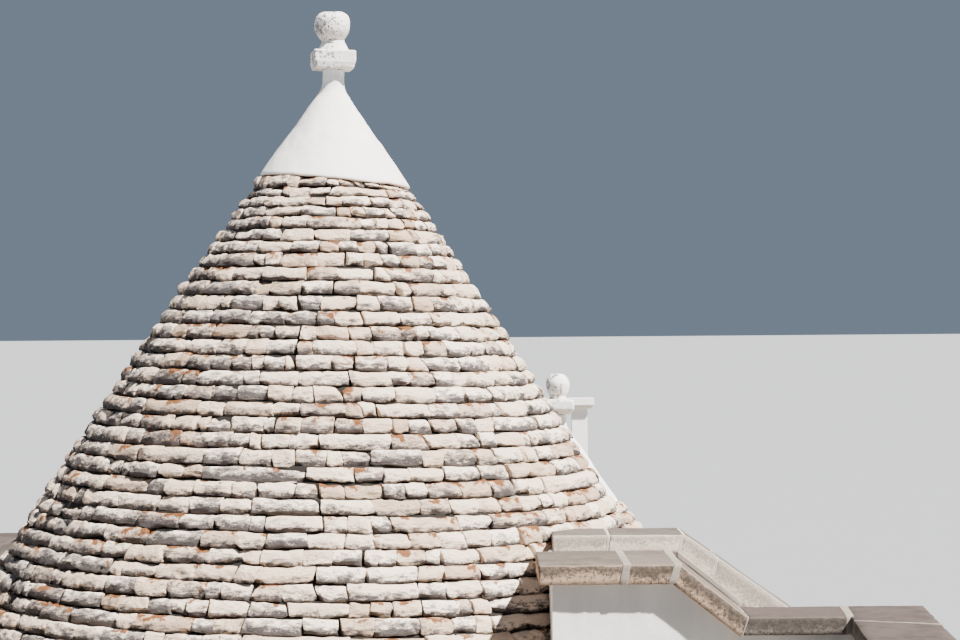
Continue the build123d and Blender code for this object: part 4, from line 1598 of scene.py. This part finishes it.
@dataclass(frozen=True)
class StepCoping:
    """Coping of the stepped wall: level slabs, a slab on the slope and the low run to the corner.

    Attributes:
        nodes: the frame's nodes that the slabs stand for, front and rear.
        slopes: angle of the front and of the rear slope in degrees.
        starts: x where the front and the rear slope start.
        joints: x of the joint in the front and in the rear level run.
        slope_joints: shares of the rear slope at which its slabs meet.
        corner: x of the inner corner with the return.
        low_depth: depth of the low run.
        low_thickness: thickness of the low run.
        thickness: thickness of the other slabs.
        settled: how far the slabs lie below their frame nodes.
        rear_inset: how far the rear run's free end lies inside its frame node.
        rear_slope_thickness: thickness of the rear slope's slabs at its start and its end.
        proud: how far the rear slabs stand before their wall.
        bed_height: height of the mortar along the foot of the rear slope.
        bed_proud: how far that mortar stands before the rear slabs.
        bed_depth: how far it reaches in behind their face.
        bed_shift: how far its two ends lie further down the slope than the front slab's, as
            shares of that slab's run.
        joint: width of the joints.
        smear: how far the mortar laps over the front slabs.
        corner_smear: the same at the return.
        rear_smear: the same over the rear slabs.
        low_proud: how far the mortar stands out at the foot of the front slope, or under 0
            where it lies back.
        rear_proud: the same between the rear slabs.
    """

    nodes: tuple[str, str] = ("stepped_coping_front", "stepped_coping_rear")
    slopes: Span = (37.5, 35.0)
    starts: Span = (2.482, 2.600)
    joints: Span = (2.155, 2.075)
    slope_joints: tuple[float, ...] = (0.21, 0.72)
    corner: float = CORNER[0]
    low_depth: float = LOW_DEPTH
    low_thickness: float = 0.12
    thickness: float = 0.130
    settled: float = 0.010
    rear_inset: float = 0.02
    rear_slope_thickness: Span = (0.158, 0.225)
    proud: float = 0.008
    bed_height: float = 0.048
    bed_proud: float = 0.014
    bed_depth: float = 0.08
    bed_shift: Span = (0.15, 0.16)
    joint: float = 0.014
    smear: float = 0.019
    corner_smear: float = 0.020
    rear_smear: float = 0.004
    low_proud: float = -0.001
    rear_proud: float = -0.002

    def mitre(self, slope: float) -> float:
        """How far the lower end of a mitre lies back from its upper end."""
        return self.thickness * math.tan(math.radians(slope / 2))

    def run(
        self, left: float, start: float, foot: float, top: float, slope: float, sides: Array
    ) -> list[Array]:
        """Level slab and sloping slab of one leaf, mitred where they meet.

        Args:
            left: x of the free end.
            start: x where the slope starts.
            foot: x where the slope ends, at its upper face.
            top: height of the level slab's upper face.
            slope: angle of the slope in degrees.
            sides: y of the outer face and of the back.

        Returns:
            Corners of the level and of the sloping slab.
        """
        mitre, half, under = self.mitre(slope), self.joint / 2, top - self.thickness
        bottom = (left, under), (start - mitre - half, under)
        level = side_slab(bottom, ((left, top), (start - half, top)), *sides)
        low_end = top - (foot - start) * math.tan(math.radians(slope))
        sloping = side_slab(
            ((start - mitre + half, under), (foot - mitre - half, low_end - self.thickness)),
            ((start + half, top), (foot - half, low_end)),
            *sides,
        )
        return [level, sloping]

    def front(self, after: Array) -> tuple[list[Array], Array]:
        """Slabs of the front leaf.

        Args:
            after: the return's side that the low slab meets, by depth and height.

        Returns:
            Corners of the slabs of the level and sloping run in order, and of the low slab.
        """
        near, far = lowest(self.nodes[0]), highest(self.nodes[0])
        top, low_top = far[2] - self.settled, near[2] + self.low_thickness
        start, slope, half = self.starts[0], self.slopes[0], self.joint / 2
        foot = start + (top - low_top) / math.tan(math.radians(slope))
        level, sloping = self.run(near[0], start, foot, top, slope, np.array([near[1], far[1]]))
        bottom = (foot - self.mitre(slope) + half, near[2]), (self.corner, near[2])
        upper = (foot + half, low_top), (self.corner, low_top)
        last = side_slab(bottom, upper, near[1], near[1] + self.low_depth)
        last[1, :, :, 0] = after[:, :, 0] - self.joint
        cut = (self.joints[0] - near[0]) / (start - near[0])
        return [*divided(level, [cut], self.joint), sloping], last

    def rear(self) -> list[Array]:
        """Slabs of the rear run in order."""
        near, far = lowest(self.nodes[1]), highest(self.nodes[1])
        start, slope = self.starts[1], self.slopes[1]
        sides = np.array([near[1] - self.proud, far[1]])
        left, top = near[0] + self.rear_inset, far[2] - self.settled
        level, sloping = self.run(left, start, far[0], top, slope, sides)
        for end, thickness in enumerate(self.rear_slope_thickness):
            sloping[end, :, 0, 2] -= (thickness - self.thickness) / math.cos(math.radians(slope))
        cut = (self.joints[1] - near[0]) / (start - near[0])
        return [*divided(level, [cut], self.joint), *divided(sloping, list(self.slope_joints), self.joint)]

    def build(self, finishes: dict[str, Material], after: Array) -> None:
        """Make the slabs of both leaves and the mortar in their joints.

        Args:
            finishes: finish of the front, low and rear slabs, the mortar and the rear mortar.
            after: the return's side that the low slab meets, by depth and height.
        """
        slabs, last = self.front(after)
        rear = self.rear()
        for key, run, node, seed in (
            ("front", slabs, self.nodes[0], 36),
            ("low", [last], self.nodes[0], 41),
            ("rear", rear, self.nodes[1], 37),
        ):
            grid = SlabGrid(along=30, seed=seed)
            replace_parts(grid.build(f"{key}_step_coping", np.stack(run), finishes[key]), node)
        short = slabs[-1].copy()
        short[:, 1, :, 1] = last[:, 1, :, 1]
        strips = joint_strips(slabs, self.smear)
        strips.append(joint_strip(short[1], last[0], 0.0, self.low_proud))
        strips.append(joint_strip(last[1], after, self.corner_smear))
        mortar_joints("front_step_mortar", strips, finishes["mortar"])
        strips = joint_strips(rear, self.rear_smear, self.rear_proud)
        mortar_joints("rear_step_mortar", strips, finishes["rear mortar"])
        face = lowest(self.nodes[1])[1] - self.proud
        foot, rise = slabs[-1][:, 0, 1][:, [0, 2]], np.array([0.0, self.bed_height])
        foot = foot + np.outer(self.bed_shift, foot[1] - foot[0])
        bed = side_slab(tuple(foot), tuple(foot + rise), face - self.bed_proud, face + self.bed_depth)
        mortar_joints("rear_step_bed", [bed], finishes["mortar"])


def joint_strip(first: Array, second: Array, smear: float, proud: float = MORTAR_PROUD) -> Array:
    """Eight corners of the mortar between two slabs, smeared over their edges.

    Args:
        first: end of one slab by depth and height, shape (2, 2, 3).
        second: end of the next slab that faces it.
        smear: how far the mortar laps over each slab.
        proud: how far it stands out on the face and on top.

    Returns:
        The corners by end, depth and height, shape (2, 2, 2, 3).
    """
    ahead = (second - first).mean(axis=(0, 1))
    ahead /= np.linalg.norm(ahead)
    strip = np.stack([first - ahead * smear, second + ahead * smear])
    inward = strip[:, 1] - strip[:, 0]
    inward /= np.linalg.norm(inward, axis=-1, keepdims=True)
    strip[:, 0] -= inward * proud
    strip[..., 1, 2] += proud
    return strip


def joint_strips(slabs: list[Array] | Array, smear: float, proud: float = MORTAR_PROUD) -> list[Array]:
    """Mortar strips between slabs that follow each other."""
    return [joint_strip(first[1], second[0], smear, proud) for first, second in zip(slabs, slabs[1:])]


def mortar_joints(name: str, strips: list[Array], finish: Material) -> None:
    """Make one piece of the mortar in joints, given each joint's eight corners."""
    grid = SlabGrid(along=5, face=4, top=14, radius=0.004, lump=0.05, wave=0.003, bite=0.0, seed=43)
    grid.build(name, np.stack(strips), finish)


@dataclass(frozen=True)
class LevelCoping:
    """Level coping runs on the low parapets, mitred where they meet.

    Attributes:
        corner: x of the inner and of the outer corner of the return.
        corner_y: y from which the return turns inwards.
        turn: angle of the return in degrees.
        low_depth: depth of the low run that the return meets.
        joint: width of the joints.
        smear: how far the mortar laps over each slab.
        cuts: shares of each run's length at its joints, the return's last.
    """

    corner: Span = CORNER
    corner_y: float = -2.24
    turn: float = 4.4
    low_depth: float = LOW_DEPTH
    joint: float = 0.012
    smear: float = 0.004
    cuts: tuple[tuple[str, tuple[float, ...]], ...] = (
        ("front_coping", (0.17, 0.33, 0.50, 0.67, 0.83)),
        ("left_coping", (0.14, 0.29, 0.43, 0.57, 0.71, 0.86)),
        ("back_coping", (0.2, 0.4, 0.6, 0.8)),
        ("return_coping", (0.55,)),
    )

    def turned(self, x: float, y: float) -> float:
        """x of the return's line at y."""
        return x + (y - self.corner_y) * math.tan(math.radians(self.turn))

    def runs(self) -> dict[str, Array]:
        """Plans of the runs round the house.

        Returns:
            Eight corners of each run, by the frame's node.
        """
        front, left, back = lowest("front_coping"), lowest("left_coping"), highest("back_coping")
        levels = front[2], highest("front_coping")[2]
        width = highest("left_coping")[0] - left[0]
        near, near_inner = front[1], front[1] + width
        side, side_inner = left[0], left[0] + width
        rear, rear_inner = back[1], back[1] - width
        inner, outer = self.corner
        step_back, joint = lowest("stepped_coping_front")[1] + self.low_depth, self.joint
        far, far_inner = self.turned(outer, near), self.turned(inner, near_inner)
        plans = {
            "front_coping": (
                ((side, near), (far, near)),
                ((side_inner, near_inner), (far_inner, near_inner)),
            ),
            "left_coping": (
                ((side, rear - joint), (side, near + joint)),
                ((side_inner, rear_inner - joint), (side_inner, near_inner + joint)),
            ),
            "back_coping": (
                ((back[0], rear), (side, rear)),
                ((back[0], rear_inner), (side_inner, rear_inner)),
            ),
            "return_coping": (
                ((far, near + joint), (outer, step_back)),
                ((far_inner, near_inner + joint), (self.turned(inner, step_back), step_back)),
            ),
        }
        return {name: plan_slab(*plan, *levels) for name, plan in plans.items()}

    def build(self, finish: Material, mortar: Material) -> Array:
        """Make the slabs and their mortar.

        Args:
            finish: material of the slabs.
            mortar: material of the mortar.

        Returns:
            The return's inner side from the stepped wall's face to its end, shape (2, 2, 3).
        """
        runs = self.runs()
        for name, cuts in self.cuts:
            slabs = divided(runs[name], list(cuts), self.joint)
            grid = SlabGrid(along=22, seed=51 + len(cuts))
            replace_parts(grid.build(f"{name}_slabs", slabs, finish), name)
            mortar_joints(f"{name}_mortar", joint_strips(slabs, self.smear), mortar)
        side = slabs[-1][:, 1]
        share = (lowest("stepped_coping_front")[1] - side[0, 0, 1]) / (side[1, 0, 1] - side[0, 0, 1])
        return np.stack([side[0] * (1 - share) + side[1] * share, side[1]])


# The two roofs


@dataclass(frozen=True)
class BlockShape:
    """The carved block between a lime cap and its ball.

    Attributes:
        foot: height of the block's foot over the cap's.
        rise: height of the block's upper edge over its foot.
        lower: radius, height over the foot and squareness of the points below the flat sides.
        upper: the same of the points over them, with the height over the upper edge.
        step: distance between the rings of vertices.
    """

    foot: float
    rise: float
    lower: tuple[Knot, ...]
    upper: tuple[Knot, ...]
    step: float

    @property
    def stem(self) -> float:
        """Height of the upper edge over the cap's foot."""
        return self.foot + self.rise

    def profile(self) -> Array:
        """Radius, height and squareness of the points from the foot up, shape (n, 3)."""
        knots = [(radius, self.foot + height, square) for radius, height, square in self.lower]
        knots += [(radius, self.stem + height, square) for radius, height, square in self.upper]
        return smooth_profile(knots, self.step)


BLOCK = BlockShape(
    foot=0.866,
    rise=0.143,
    lower=((0.05, 0, 1), (0.134, 0.001, 1), (0.139, 0.005, 1), (0.151, 0.044, 1), (0.153, 0.051, 1)),
    upper=(
        (0.153, -0.010, 1), (0.148, -0.002, 1), (0.132, 0, 0.7), (0.116, 0.003, 0), (0.108, 0.020, 0),
        (0.094, 0.046, 0), (0.081, 0.072, 0), (0.078, 0.086, 0), (0.03, 0.088, 0),
    ),
    step=0.008,
)
REAR_BLOCK = BlockShape(
    foot=0.872,
    rise=0.150,
    lower=((0.05, 0, 1), (0.118, 0.002, 1), (0.128, 0.01, 1), (0.157, 0.05, 1), (0.16, 0.06, 1)),
    upper=(
        (0.16, -0.015, 1), (0.15, -0.003, 0.9), (0.10, 0, 0.5), (0.082, 0.004, 0), (0.078, 0.034, 0),
        (0.03, 0.036, 0),
    ),
    step=0.01,
)
ROOF = StoneCone(
    name="roof_stones", seat=(0.010, 0.0, 2.65), lean=1.05, height=3.457, foot_radius=2.79, top_radius=0.545,
    belly=0.036, rise_full=0.107, rise_top=0.068, rise_growth=0.0045, crest_tilt=0.040,
)
REAR_ROOF = StoneCone(
    name="rear_roof_stones", seat=(1.972, 5.1, 2.25), height=0.983, foot_radius=1.33, top_radius=0.60,
    rise_full=0.098, rise_top=0.098, stone_length=0.26, stone_length_top=0.2, parts=1, along=7, seed=17,
)


def build_crown(lime: Material, pinnacle: Material) -> None:
    """Make the lime cap, the block and the ball of the large roof."""
    crest = leaned(np.array([0.0, 0.0, ROOF.height]), ROOF.seat, ROOF.lean)
    stem, slope = BLOCK.stem, 0.690
    LatheForm(
        name="lime_cap", seat=tuple(crest), lean=ROOF.lean, around=160, sag=0.006, tilt=ROOF.crest_tilt,
        flare=0.68, profile=cap_profile(0.572, 0.104, slope, 0.082, BLOCK.foot - slope), seed=5,
    ).build(lime, Slot.CAP, "cap")
    LatheForm(
        name="pinnacle_seat", seat=tuple(crest), profile=BLOCK.profile(), lean=ROOF.lean, around=208,
        lumps=((0.12, 0.003), (0.05, 0.0015), (0.02, 0.0012)), stretch=(1.05, 0.97), turn=11.0,
        pits=0.006, pit_size=0.015, pit_side=208.0, seed=23,
        dents_and_shade=(
            (251.0, stem - 0.045, 0.016, 0.009), (264.0, stem - 0.062, 0.010, 0.007),
            # The two shallow dented spots at 192 and 202 degrees are painted shade on the block's left side.
            (192.0, stem - 0.050, 0.060, 0.003), (202.0, stem - 0.095, 0.050, 0.003),
        ),
    ).build(pinnacle, Slot.PINNACLE, "pinnacle_block")
    LatheForm(
        name="pinnacle_round", seat=(crest[0] - 0.006, crest[1], crest[2]), lean=ROOF.lean, around=208,
        profile=ball_profile(stem + 0.086, 0.274, 0.212, 0.54, (0.62, 0.55), (2.0, 2.6)),
        lumps=((0.12, 0.005), (0.05, 0.0025), (0.02, 0.0015)), pits=0.006, pit_size=0.013, pit_side=222.0,
        dents_and_shade=((203.0, stem + 0.186, 0.050, 0.022), (222.0, stem + 0.140, 0.030, 0.010)), seed=29,
    ).build(pinnacle, Slot.PINNACLE, "pinnacle_ball")


def build_rear_crown(lime: Material, pinnacle: Material) -> None:
    """Make the lime cap, the block and the ball of the small roof behind."""
    x, y, z = REAR_ROOF.seat
    crest, slope = (x, y, z + REAR_ROOF.height), 0.735
    LatheForm(
        name="rear_lime_cap", seat=crest, sag=0.012, seed=7,
        profile=cap_profile(0.59, 0.108, slope, 0.084, REAR_BLOCK.foot - slope),
    ).build(lime, Slot.CAP, "rear_cap")
    LatheForm(
        name="rear_pinnacle_seat", seat=crest, profile=REAR_BLOCK.profile(), pits=0.004, seed=33
    ).build(pinnacle, Slot.PINNACLE, "rear_pinnacle_block")
    LatheForm(
        name="rear_pinnacle_round", seat=crest, pits=0.005, seed=35,
        profile=ball_profile(REAR_BLOCK.stem + 0.03, 0.24, 0.226, 0.52, (0.62, 0.5), (2.0, 2.0)),
    ).build(pinnacle, Slot.PINNACLE, "rear_pinnacle_ball")


def paint_frame(coping: Material) -> None:
    """Give the frame's own nodes their finishes."""
    nodes = list(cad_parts)
    core = CoreFinish("roof_core", ROOF.seat, radius=2.38, slope=0.574, rise=0.3, lean=ROOF.lean).build()
    rear_core = CoreFinish("rear_roof_core", REAR_ROOF.seat, radius=1.12, slope=0.727, rise=0.098).build()
    walls = LimeFinish("limewash", dirt_share=0.10, paved_height=ROOF.seat[2]).build()
    paint([name for name in nodes if name.startswith("cone_segment")], core)
    paint(["rear_cone"], rear_core)
    paint([name for name in nodes if "wall" in name or "parapet" in name or "chimney" in name], walls)
    paint(["right_edge_course"], coping)
    paint(["floor_slab", "corner_slabs", "keystones"], PavingFinish().build())


def main() -> None:
    """Build the sub-assemblies in order."""
    logging.basicConfig(level=logging.INFO, format="%(message)s")
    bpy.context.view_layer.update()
    PhotoView().build()
    StudioLight().build()
    build_stage()

    roof = RoofStoneFinish().build()
    lime = LimeFinish().build()
    pinnacle = LimeFinish(
        "pinnacle_lime", white=(0.88, 0.865, 0.84), shade=(0.72, 0.70, 0.675), dirt_share=0.55,
        speck_scale=62.0, relief=0.005,
    ).build()
    mortar = LimeFinish("mortar", white=(0.32, 0.28, 0.24), shade=(0.22, 0.19, 0.163), dirt_share=0.5).build()
    pale_mortar = LimeFinish("pale_mortar", white=(0.50, 0.45, 0.39), shade=(0.38, 0.335, 0.29)).build()
    coping = CopingFinish(painted_shade_y=-2.03).build()
    low_coping = CopingFinish(
        "low_coping_stone", top=(0.043, 0.032, 0.028), top_pale=(0.075, 0.056, 0.050),
        face=(0.142, 0.119, 0.108), stain=(0.068, 0.057, 0.051), arris=0.6,
    ).build()
    rear_coping = CopingFinish(
        "rear_coping_stone", top=(0.077, 0.065, 0.055), top_pale=(0.120, 0.103, 0.087),
        face=(0.63, 0.55, 0.46), stain=(0.36, 0.315, 0.265), spotted=0.25,
    ).build()

    ROOF.build(roof)
    REAR_ROOF.build(roof)
    build_crown(lime, pinnacle)
    build_rear_crown(lime, pinnacle)
    beside = LevelCoping().build(low_coping, mortar)
    finishes = {
        "front": coping, "low": low_coping, "rear": rear_coping, "mortar": mortar, "rear mortar": pale_mortar
    }
    StepCoping().build(finishes, beside)
    paint_frame(coping)


if __name__ == "__main__":
    main()
